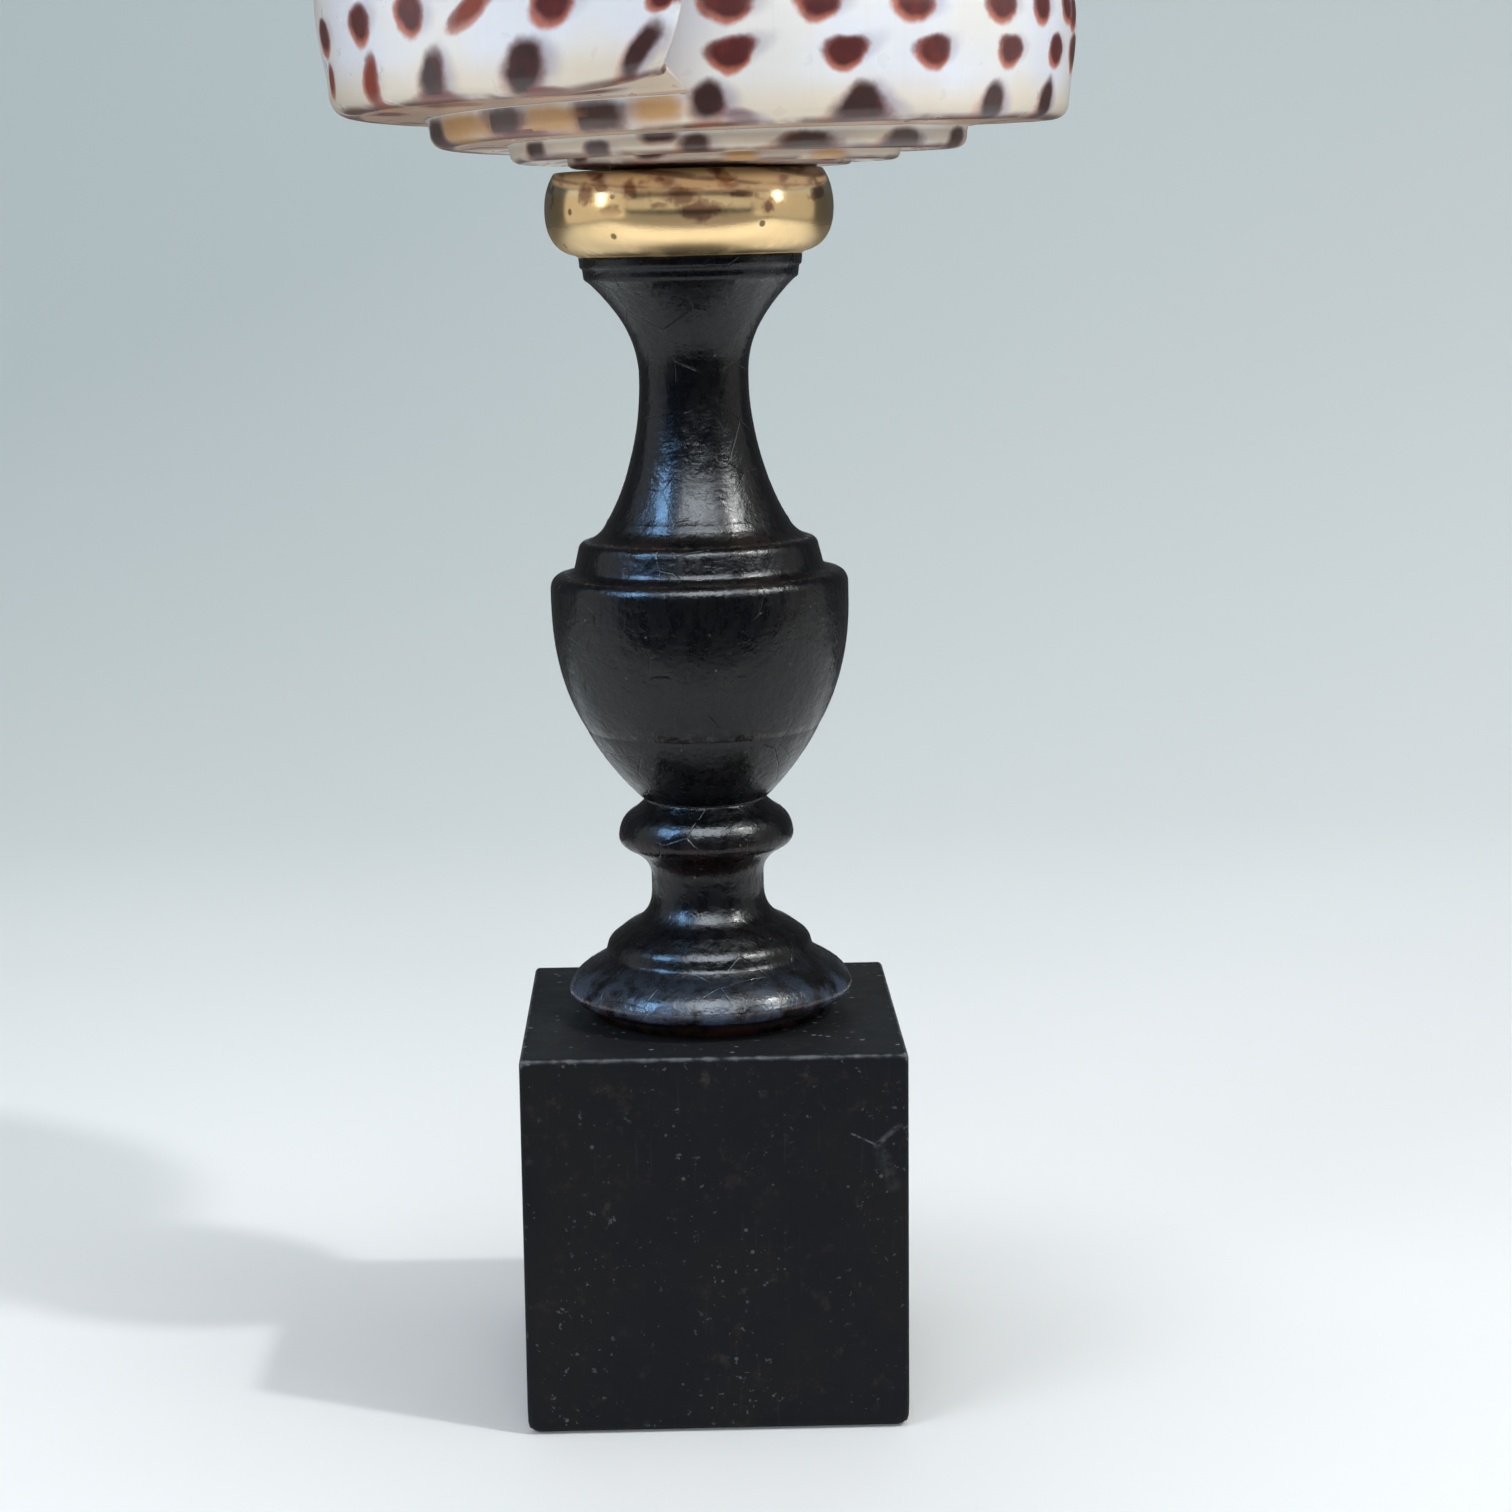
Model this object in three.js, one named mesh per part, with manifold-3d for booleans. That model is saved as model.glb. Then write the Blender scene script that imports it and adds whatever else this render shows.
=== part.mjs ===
// A cone shell standing on its spire in a brass collar, on a black turned stem and a black cube.
// Millimetres, +Z up. The side with the shell's lip faces -Y, and the origin is the centre of
// the cube's underside.
import * as THREE from 'three';
import { ParametricGeometry } from 'three/addons/geometries/ParametricGeometry.js';
import { RoundedBoxGeometry } from 'three/addons/geometries/RoundedBoxGeometry.js';
import { mergeGeometries, mergeVertices } from 'three/addons/utils/BufferGeometryUtils.js';
import Module from 'manifold-3d';

const TAU = 2 * Math.PI;

// The cube plinth.
const PLINTH_WIDTH = 40;
const PLINTH_HEIGHT = 40.5;
const PLINTH_EDGE = 0.6;
const PLINTH_EDGE_STEPS = 2;

// Stem, collar and shell lean a little to -X, as one, from the foot.
const LEAN = THREE.MathUtils.degToRad(0.77);
const FIT_GAP = 0.3;
const FOOT_GAP = 0.4;

// The turned stem: radii, and heights above the plinth's underside along the leaning axis.
// A handle is the off-curve point that bends the stretch it is named for.
const TURNING_SIDES = 34;
const CURVE_STEPS = 3;
const LONG_CURVE_STEPS = 6;
const FOOT = { baseRadius: 12.4, baseTop: 42.1, underRadius: 14.6, underZ: 42.4 };
const FOOT_RIM = { radius: 15.3, z: 43.6, handleRadius: 15.4, handleZ: 42.7 };
const FLARE = { radius: 11.5, z: 47.0, handleRadius: 15.0, handleZ: 45.2 };
const STEP = { radius: 11.2, z: 47.3, topRadius: 10.5, topZ: 48.8 };
const STEP_EDGE = { radius: 8.6, z: 50.4, handleRadius: 10.2, handleZ: 49.8 };
const WAIST = { radius: 6.05, low: 54.3, high: 55.9, lowHandleRadius: 6.6, lowHandleZ: 51.1 };
const WAIST_HANDLES = { lowZ: 52.5, highRadius: 6.25, highZ: 57.7 };
const BEAD = { radius: 9.4, z: 60.1, underRadius: 8.5, underZ: 58.8 };
const BEAD_HANDLES = { underRadius: 9.5, underZ: 59.2, topRadius: 9.0, topZ: 62.5 };
const GROOVE = { radius: 6.5, z: 64.1, bevel: 0.3 };
const URN = { baseRadius: 6.9, baseZ: 64.3, radius: 15.8, z: 86.0 };
const URN_HANDLES = { baseRadius: 12.1, baseZ: 70.3, topZ: 77.0 };
const URN_EDGE = { high: 87.0, radius: 14.9, z: 88.3, handleRadius: 15.75, handleZ: 88.1 };
const FLANGE = { radius: 13.2, low: 89.0, topRadius: 12.5, high: 91.3 };
const FLANGE_EDGE = { radius: 11.6, z: 91.9, handleRadius: 12.3, handleZ: 91.8 };
const COVE = { radius: 9.5, low: 94.0, topRadius: 9.25, z: 94.1, handleRadius: 10.4, handleZ: 92.5 };
const NECK = { baseRadius: 9.4, baseZ: 94.3, radius: 5.75, z: 109 };
const NECK_HANDLES = { baseRadius: 7.0, baseZ: 98.4, lowZ: 104, highZ: 113, topRadius: 7.8, topZ: 115.9 };
const CONE = { radius: 10.6, z: 118.7 };
const PLATE = { lowRadius: 11.25, low: 119.2, stepRadius: 11.35, stepZ: 120.2 };
const PLATE_TOP = { lowRadius: 11.6, low: 120.4, radius: 11.7, z: 121.15 };

// The collar: a brass bun ring with a cupped bore that the spire's tip stands in.
const COLLAR_SIDES = 32;
const COLLAR = { bottom: PLATE_TOP.z + FIT_GAP, top: 129.85, radius: 15.05, bulgeZ: 126.2 };
const COLLAR_HANDLES = { footRadius: 13.7, footZ: 121.95, bulgeLow: 123.25, bulgeHigh: 128.65 };
const COLLAR_RIM = { radius: 14, z: 129.75, flatRadius: 13.6 };
const COLLAR_FOOT_RADIUS = 11.7;
const COLLAR_CUP_RADIUS = 12.4;
const COLLAR_BORE_RADIUS = 8.5;
const COLLAR_CUP_DEPTH = 3;

// The shell: a right-handed coil whose radius grows by the same ratio in every turn.
// A turn count of 0 is the outer lip, -1 is the same place one turn earlier.
const COIL_OFFSET_X = 3.5;
const LAST_WHORL_SHIFT = 1.15;
const SHIFT_FROM_TURN = -1;
const SHIFT_FULL_TURN = -0.75;
const LIP_AZIMUTH = THREE.MathUtils.degToRad(-95.7);
const LIP_RADIUS = 45.2;
const GROWTH = 1.37;
const TIP_GROWTH = 2.1;
const SPIRE_Z = 129.8;
const SPIRE_RISE = 6.5;
const SPIRE_SPREAD = 1.12;
const LIP_LIFT = 1.5;
const LIP_LIFT_SPAN = 0.06;
const ANTERIOR_Z = 256;
const TIP_CROWN = 0.6;
const TIP_RATIO = 0.2;
const SIDE_BOW = 1.3;
const BULGE_AT = 0.062;
const WALL_RATIO = 0.979;
const CORNER_RATIO = 0.97;
const CORNER_SPREAD = 0.055;
const WALL_HEIGHT = 4.5;
const CORNER_HEIGHT_RATIO = 0.5;
const WALL_GROWTH = 1.3;
const TURNS = 5;
const APEX_Z = 129;
const COLUMNS = 36;
const SIDE_ROWS = 13;
const SIDE_CROWDING = 1.5;
const PROFILE_ROWS = 5;
const ROW_SHARE = 1 / PROFILE_ROWS;

// The lip's edge draws back at the shoulder and again at the narrow end.
const LIP_NOTCH = 0.007;
const LIP_NOTCH_SPAN = 0.07;
const LIP_RETREAT = 0.02;
const LIP_RETREAT_FROM = 0.5;
const LIP_BLEND = 0.25;

// The long narrow mouth behind the lip.
const LIP_THICKNESS = 2.2;
const MOUTH_DEPTH = 0.5;
const MOUTH_OVERRUN = 0.06;
const MOUTH_FLOOR = 1.8;
const MOUTH_PAST_TIP = 4;
const PARIETAL_SKIN = 0.3;
const MOUTH_COLUMNS = 18;

const WELD_TOLERANCE = 1e-4;

const wasm = await Module();
wasm.setup();

/** A finish for one piece. */
function finish(color, roughness, metalness) {
  return new THREE.MeshStandardMaterial({ color, roughness, metalness });
}

/** A named mesh with its own finish. */
function piece(name, geometry, material) {
  const mesh = new THREE.Mesh(geometry, material);
  mesh.name = name;
  return mesh;
}

/** Merges a geometry's shared vertices, keeping positions only. */
function weld(geometry) {
  const bare = geometry.clone();
  bare.deleteAttribute('normal');
  bare.deleteAttribute('uv');
  const welded = mergeVertices(bare, WELD_TOLERANCE);
  const index = welded.index.array;
  const kept = [];
  for (let i = 0; i < index.length; i += 3) {
    const [a, b, c] = [index[i], index[i + 1], index[i + 2]];
    if (a !== b && b !== c && c !== a) {
      kept.push(a, b, c);
    }
  }
  welded.setIndex(kept);
  return welded;
}

/** Cuts one closed geometry from another. */
function cut(body, tool) {
  const solids = [body, tool].map((geometry) => {
    const welded = weld(geometry);
    return new wasm.Manifold(new wasm.Mesh({
      numProp: 3,
      vertProperties: new Float32Array(welded.attributes.position.array),
      triVerts: new Uint32Array(welded.index.array),
    }));
  });
  const mesh = solids[0].subtract(solids[1]).getMesh();
  const geometry = new THREE.BufferGeometry();
  geometry.setAttribute('position', new THREE.BufferAttribute(mesh.vertProperties, 3));
  geometry.setIndex(new THREE.BufferAttribute(mesh.triVerts, 1));
  geometry.computeVertexNormals();
  return geometry;
}

/** Turns a profile of (radius, height) points about the Z axis. */
function turned(points, sides) {
  const geometry = new THREE.LatheGeometry(points, sides);
  geometry.rotateX(Math.PI / 2);
  return weld(geometry);
}

/** The plinth: a cube with softened edges, standing on the ground plane. */
function plinthGeometry() {
  const box = new RoundedBoxGeometry(
    PLINTH_WIDTH, PLINTH_WIDTH, PLINTH_HEIGHT, PLINTH_EDGE_STEPS, PLINTH_EDGE);
  box.translate(0, 0, PLINTH_HEIGHT / 2);
  return weld(box);
}

/** The foot, its stepped shoulder and the waist, drawn upwards from the underside. */
function footPoints() {
  const path = new THREE.Path();
  path.moveTo(0, PLINTH_HEIGHT + FOOT_GAP);
  path.lineTo(FOOT.baseRadius, PLINTH_HEIGHT + FOOT_GAP);
  path.lineTo(FOOT.baseRadius, FOOT.baseTop);
  path.lineTo(FOOT.underRadius, FOOT.underZ);
  path.quadraticCurveTo(FOOT_RIM.handleRadius, FOOT_RIM.handleZ, FOOT_RIM.radius, FOOT_RIM.z);
  path.quadraticCurveTo(FLARE.handleRadius, FLARE.handleZ, FLARE.radius, FLARE.z);
  path.lineTo(STEP.radius, STEP.z);
  path.lineTo(STEP.topRadius, STEP.topZ);
  path.quadraticCurveTo(STEP_EDGE.handleRadius, STEP_EDGE.handleZ, STEP_EDGE.radius, STEP_EDGE.z);
  path.bezierCurveTo(
    WAIST.lowHandleRadius, WAIST.lowHandleZ, WAIST.radius, WAIST_HANDLES.lowZ,
    WAIST.radius, WAIST.low);
  return path.getPoints(CURVE_STEPS);
}

/** The waist, the bead above it and the groove under the urn. */
function beadPoints() {
  const path = new THREE.Path();
  path.moveTo(WAIST.radius, WAIST.high);
  path.quadraticCurveTo(
    WAIST_HANDLES.highRadius, WAIST_HANDLES.highZ, BEAD.underRadius, BEAD.underZ);
  path.quadraticCurveTo(BEAD_HANDLES.underRadius, BEAD_HANDLES.underZ, BEAD.radius, BEAD.z);
  path.quadraticCurveTo(
    BEAD_HANDLES.topRadius, BEAD_HANDLES.topZ, GROOVE.radius + GROOVE.bevel, GROOVE.z - GROOVE.bevel);
  path.lineTo(GROOVE.radius, GROOVE.z);
  return path.getPoints(CURVE_STEPS);
}

/** The urn, from the groove under it to its widest place. */
function urnPoints() {
  const path = new THREE.Path();
  path.moveTo(URN.baseRadius, URN.baseZ);
  path.bezierCurveTo(
    URN_HANDLES.baseRadius, URN_HANDLES.baseZ, URN.radius, URN_HANDLES.topZ, URN.radius, URN.z);
  return path.getPoints(LONG_CURVE_STEPS);
}

/** The urn's rounded rim, the flange on it and the cove above. */
function rimPoints() {
  const path = new THREE.Path();
  path.moveTo(URN.radius, URN_EDGE.high);
  path.quadraticCurveTo(URN_EDGE.handleRadius, URN_EDGE.handleZ, URN_EDGE.radius, URN_EDGE.z);
  path.lineTo(FLANGE.radius, FLANGE.low);
  path.lineTo(FLANGE.topRadius, FLANGE.high);
  path.quadraticCurveTo(
    FLANGE_EDGE.handleRadius, FLANGE_EDGE.handleZ, FLANGE_EDGE.radius, FLANGE_EDGE.z);
  path.quadraticCurveTo(COVE.handleRadius, COVE.handleZ, COVE.radius, COVE.low);
  path.lineTo(COVE.topRadius, COVE.z);
  return path.getPoints(CURVE_STEPS);
}

/** The long neck, flaring down to the urn and up to the top plate. */
function neckPoints() {
  const path = new THREE.Path();
  path.moveTo(NECK.baseRadius, NECK.baseZ);
  path.bezierCurveTo(
    NECK_HANDLES.baseRadius, NECK_HANDLES.baseZ, NECK.radius, NECK_HANDLES.lowZ,
    NECK.radius, NECK.z);
  path.bezierCurveTo(
    NECK.radius, NECK_HANDLES.highZ, NECK_HANDLES.topRadius, NECK_HANDLES.topZ,
    CONE.radius, CONE.z);
  return path.getPoints(LONG_CURVE_STEPS);
}

/** The stepped plate under the collar, closed on the axis. */
function platePoints() {
  const path = new THREE.Path();
  path.moveTo(PLATE.lowRadius, PLATE.low);
  path.lineTo(PLATE.stepRadius, PLATE.stepZ);
  path.lineTo(PLATE_TOP.lowRadius, PLATE_TOP.low);
  path.lineTo(PLATE_TOP.radius, PLATE_TOP.z);
  path.lineTo(0, PLATE_TOP.z);
  return path.getPoints();
}

/** The whole stem, one turning. */
function stemGeometry() {
  const profile = [
    ...footPoints(), ...beadPoints(), ...urnPoints(),
    ...rimPoints(), ...neckPoints(), ...platePoints(),
  ];
  return turned(profile, TURNING_SIDES);
}

/** The brass collar, a ring whose section closes on itself. */
function collarGeometry() {
  const path = new THREE.Path();
  path.moveTo(COLLAR_BORE_RADIUS, COLLAR.bottom);
  path.lineTo(COLLAR_FOOT_RADIUS, COLLAR.bottom);
  path.bezierCurveTo(
    COLLAR_HANDLES.footRadius, COLLAR_HANDLES.footZ, COLLAR.radius, COLLAR_HANDLES.bulgeLow,
    COLLAR.radius, COLLAR.bulgeZ);
  path.quadraticCurveTo(
    COLLAR.radius, COLLAR_HANDLES.bulgeHigh, COLLAR_RIM.radius, COLLAR_RIM.z);
  path.lineTo(COLLAR_RIM.flatRadius, COLLAR.top);
  path.lineTo(COLLAR_CUP_RADIUS, COLLAR.top);
  path.lineTo(COLLAR_BORE_RADIUS, COLLAR.top - COLLAR_CUP_DEPTH);
  path.lineTo(COLLAR_BORE_RADIUS, COLLAR.bottom);
  return turned(path.getPoints(LONG_CURVE_STEPS), COLLAR_SIDES);
}

/** Height of a whorl's shoulder: a spire that is flat in the middle, and lifts at the lip. */
function shoulderHeight(turn) {
  const lift = LIP_LIFT * Math.max(0, 1 + turn / LIP_LIFT_SPAN) ** 2;
  return SPIRE_Z + SPIRE_RISE / (1 + (turn / SPIRE_SPREAD) ** 2) + lift;
}

/** Where a whorl's wall stops showing and the next whorl is laid on it. */
function wallTop(turn) {
  return shoulderHeight(turn) + WALL_HEIGHT * GROWTH ** (WALL_GROWTH * turn);
}

/** Share of the whorl's widest radius at a place along its side, 0 at the wall, 1 at the tip. */
function sideShare(along) {
  if (along < BULGE_AT) {
    return WALL_RATIO + (1 - WALL_RATIO) * Math.sin((Math.PI / 2) * Math.max(0, along) / BULGE_AT);
  }
  const run = (along - BULGE_AT) / (1 - BULGE_AT);
  return 1 - (1 - TIP_RATIO) * run ** SIDE_BOW;
}

/** Radius of the whorl's side. The coil opens faster towards the narrow end. */
function sideRadius(turn, along) {
  const growth = GROWTH + (TIP_GROWTH - GROWTH) * along ** 2;
  return LIP_RADIUS * sideShare(along) * growth ** turn;
}

/** Radius of the whorl's side at a height. */
function sideRadiusAt(turn, z) {
  const low = wallTop(turn);
  return sideRadius(turn, (z - low) / (ANTERIOR_Z - low));
}

/** How far the lip's edge stands before or behind its plane, in turns. */
function lipOffset(along) {
  const notch = LIP_NOTCH * Math.max(0, 1 - along / LIP_NOTCH_SPAN) ** 2;
  const retreat = LIP_RETREAT * Math.max(0, (along - LIP_RETREAT_FROM) / (1 - LIP_RETREAT_FROM)) ** 2;
  return -notch - retreat;
}

/** Sets a target on the coil from turn, radius and height; the lip's edge is drawn back. */
function onCoil(turn, radius, z, offset, target) {
  const fade = Math.max(0, 1 + turn / LIP_BLEND) ** 2;
  const angle = LIP_AZIMUTH + TAU * (turn + offset * fade);
  const shift = LAST_WHORL_SHIFT * THREE.MathUtils.smoothstep(turn, SHIFT_FROM_TURN, SHIFT_FULL_TURN);
  return target.set(shift + radius * Math.cos(angle), radius * Math.sin(angle), z);
}

/** A point on a whorl's ramp (the first row), rounded shoulder, and wall (the last row). */
function shoulderPoint(turn, share, target) {
  const size = LIP_RADIUS * GROWTH ** turn;
  const corner = new THREE.Vector2(size * CORNER_RATIO, shoulderHeight(turn));
  const start = new THREE.Vector2(corner.x - size * CORNER_SPREAD, corner.y);
  const wall = new THREE.Vector2(size * WALL_RATIO, wallTop(turn));
  const end = corner.clone().lerp(wall, CORNER_HEIGHT_RATIO);
  const round = new THREE.QuadraticBezierCurve(start, corner, end);
  const bend = THREE.MathUtils.clamp((share - ROW_SHARE) / (1 - 2 * ROW_SHARE), 0, 1);
  const climb = Math.max(0, (share - 1 + ROW_SHARE) / ROW_SHARE);
  const place = round.getPoint(bend).lerp(wall, climb);
  onCoil(turn, place.x, place.y, lipOffset(0), target);
  if (share < ROW_SHARE) {
    const sutureRadius = LIP_RADIUS * WALL_RATIO * GROWTH ** (turn - 1);
    const suture = onCoil(turn - 1, sutureRadius, wallTop(turn - 1), 0, new THREE.Vector3());
    target.lerp(suture, 1 - share / ROW_SHARE);
  }
  return target;
}

/** A point on the body whorl's long side. Rows crowd towards the shoulder. */
function sidePoint(turn, row, target) {
  const along = row ** SIDE_CROWDING;
  const low = wallTop(turn);
  const z = low + (ANTERIOR_Z - low) * along;
  return onCoil(turn, sideRadius(turn, along), z, lipOffset(along), target);
}

/** A fan of triangles from a centre to a run of points. */
function fan(centre, points) {
  const spread = (u, v, target) => {
    target.lerpVectors(centre, points[Math.round(u * (points.length - 1))], v);
  };
  return new ParametricGeometry(spread, points.length - 1, 1);
}

/** Points along a curve function, ends included. */
function sample(count, place) {
  return Array.from({ length: count + 1 }, (_, i) => place(i / count, new THREE.Vector3()));
}

/** The shell's outside, closed: spire, side, the lip's end face and both ends. */
function shellOutside() {
  const spire = (u, v, target) => shoulderPoint(-TURNS * (1 - u), v, target);
  const side = (u, v, target) => sidePoint(u - 1, v, target);
  const from = new THREE.Vector3();
  const to = new THREE.Vector3();
  const lipFace = (u, v, target) => {
    target.lerpVectors(sidePoint(0, v, from), sidePoint(-1, v, to), u);
  };
  const suture = shoulderPoint(0, 0, new THREE.Vector3());
  const lipShoulder = sample(PROFILE_ROWS, (v, target) => shoulderPoint(0, v, target));
  const apex = new THREE.Vector3(0, 0, APEX_Z);
  const crown = new THREE.Vector3(0, 0, ANTERIOR_Z + TIP_CROWN);
  const firstTurn = sample(COLUMNS, (u, target) => shoulderPoint(-TURNS + u, 0, target));
  const firstEdge = sample(PROFILE_ROWS, (v, target) => shoulderPoint(-TURNS, v, target));
  const tip = sample(COLUMNS, (u, target) => sidePoint(u - 1, 1, target));
  return mergeGeometries([
    new ParametricGeometry(spire, TURNS * COLUMNS, PROFILE_ROWS),
    new ParametricGeometry(side, COLUMNS, SIDE_ROWS),
    new ParametricGeometry(lipFace, 1, SIDE_ROWS),
    fan(suture, lipShoulder),
    fan(apex, firstTurn),
    fan(apex, firstEdge.toReversed()),
    fan(crown, [...tip, tip[0]].toReversed()),
  ]);
}

/** The mouth's hollow: between the lip's inside and the whorl one turn earlier. */
function mouthTool() {
  const span = MOUTH_DEPTH + MOUTH_OVERRUN;
  const turnAt = (u) => MOUTH_OVERRUN - span * (1 - u);
  const heightAt = (turn, v) => {
    const floor = shoulderHeight(Math.min(turn, 0)) + MOUTH_FLOOR;
    return floor + (ANTERIOR_Z + MOUTH_PAST_TIP - floor) * v ** SIDE_CROWDING;
  };
  const outer = (u, v, target) => {
    const turn = turnAt(u);
    const z = heightAt(turn, v);
    return onCoil(turn, sideRadiusAt(turn, z) - LIP_THICKNESS, z, 0, target);
  };
  const inner = (u, v, target) => {
    const turn = turnAt(u);
    const z = heightAt(turn, v);
    return onCoil(turn, sideRadiusAt(turn - 1, z) + PARIETAL_SKIN, z, 0, target);
  };
  const a = new THREE.Vector3();
  const b = new THREE.Vector3();
  const between = (uAt, vAt) => (u, v, target) => {
    target.lerpVectors(inner(uAt(u), vAt(u), a), outer(uAt(u), vAt(u), b), v);
  };
  const same = (x) => x;
  const start = () => 0;
  const end = () => 1;
  return mergeGeometries([
    new ParametricGeometry(outer, MOUTH_COLUMNS, SIDE_ROWS),
    new ParametricGeometry((u, v, target) => inner(1 - u, v, target), MOUTH_COLUMNS, SIDE_ROWS),
    new ParametricGeometry(between(same, start), MOUTH_COLUMNS, 1),
    new ParametricGeometry((u, v, target) => between(same, end)(1 - u, v, target), MOUTH_COLUMNS, 1),
    new ParametricGeometry((u, v, target) => between(start, same)(1 - u, v, target), SIDE_ROWS, 1),
    new ParametricGeometry(between(end, same), SIDE_ROWS, 1),
  ]);
}

/** The shell, with its coil axis set beside the stem's. */
function shellGeometry() {
  const shell = cut(shellOutside(), mouthTool());
  shell.translate(COIL_OFFSET_X, 0, 0);
  return shell;
}

const plinth = piece('plinth_block', plinthGeometry(), finish('#15161a', 0.55, 0));
const stem = piece('turned_stem', stemGeometry(), finish('#121214', 0.3, 0));
const collar = piece('brass_collar', collarGeometry(), finish('#d8b577', 0.15, 1));
const shell = piece('cone_shell', shellGeometry(), finish('#e6e1d6', 0.25, 0));

// The leaning pieces turn about the middle of the plinth's top.
const upright = new THREE.Group();
upright.position.z = -PLINTH_HEIGHT;
upright.add(stem, collar, shell);

const leaning = new THREE.Group();
leaning.position.z = PLINTH_HEIGHT;
leaning.rotation.y = -LEAN;
leaning.add(upright);

const part = new THREE.Group();
part.add(plinth, leaning);

export default part;
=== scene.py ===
"""A spotted cone shell standing on its spire in a brass collar, on a black turned stem and cube.

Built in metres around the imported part: +Z is up, -Y faces the camera, and the origin is the
middle of the cube's underside. Sizes held by the classes are in millimetres.
"""
from __future__ import annotations

import logging
import math
import random
from dataclasses import dataclass, field
from enum import Enum
from types import SimpleNamespace
from typing import Callable, Iterable, Sequence

import bmesh
import bpy
import numpy as np
from mathutils import Matrix, Vector

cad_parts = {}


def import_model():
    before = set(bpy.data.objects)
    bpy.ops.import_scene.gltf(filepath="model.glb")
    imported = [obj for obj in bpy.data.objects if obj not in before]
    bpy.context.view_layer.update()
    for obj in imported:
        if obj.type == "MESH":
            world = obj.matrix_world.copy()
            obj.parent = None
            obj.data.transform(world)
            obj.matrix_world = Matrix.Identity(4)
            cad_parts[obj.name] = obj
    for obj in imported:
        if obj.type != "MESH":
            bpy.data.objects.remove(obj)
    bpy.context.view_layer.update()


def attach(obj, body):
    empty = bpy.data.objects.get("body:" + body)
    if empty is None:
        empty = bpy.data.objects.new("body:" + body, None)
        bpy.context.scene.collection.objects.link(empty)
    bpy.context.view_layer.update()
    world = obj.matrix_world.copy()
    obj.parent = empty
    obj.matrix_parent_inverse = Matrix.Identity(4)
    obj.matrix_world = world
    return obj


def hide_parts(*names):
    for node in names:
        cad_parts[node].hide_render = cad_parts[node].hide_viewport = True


LOG = logging.getLogger("mounted_shell")
MM = 0.001
TAU = 2 * math.pi

Colour = tuple[float, float, float]
Place = tuple[float, float, float]
Span = tuple[float, float]


class Part(Enum):
    """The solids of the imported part."""

    SHELL = "cone_shell"
    COLLAR = "brass_collar"
    STEM = "turned_stem"
    PLINTH = "plinth_block"


class Slot(Enum):
    """The record's material slots."""

    SHELL = "shell"
    COLLAR = "collar"
    STEM = "stem"
    PLINTH = "plinth"


class Cells(Enum):
    """What scattered points draw: dots about them, or the cracks between them."""

    DOTS = "F1"
    CRACKS = "DISTANCE_TO_EDGE"


class MarkKind(Enum):
    """The kinds of mark that the shell wears."""

    SPOT = "spot"
    BLOTCH = "blotch"
    STREAK = "streak"
    BLOCK = "block"
    TAN = "tan"
    FLAME = "flame"
    SHADE = "shade"


def srgb(red: int, green: int, blue: int) -> Colour:
    """Turns a display colour into the linear one that shaders use.

    Args:
        red: Red, 0 to 255.
        green: Green, 0 to 255.
        blue: Blue, 0 to 255.

    Returns:
        The same colour, linear.
    """

    def channel(value: int) -> float:
        """One channel, linear."""
        share = value / 255
        return share / 12.92 if share <= 0.04045 else ((share + 0.055) / 1.055) ** 2.4

    return channel(red), channel(green), channel(blue)


# Node trees written as sums


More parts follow.
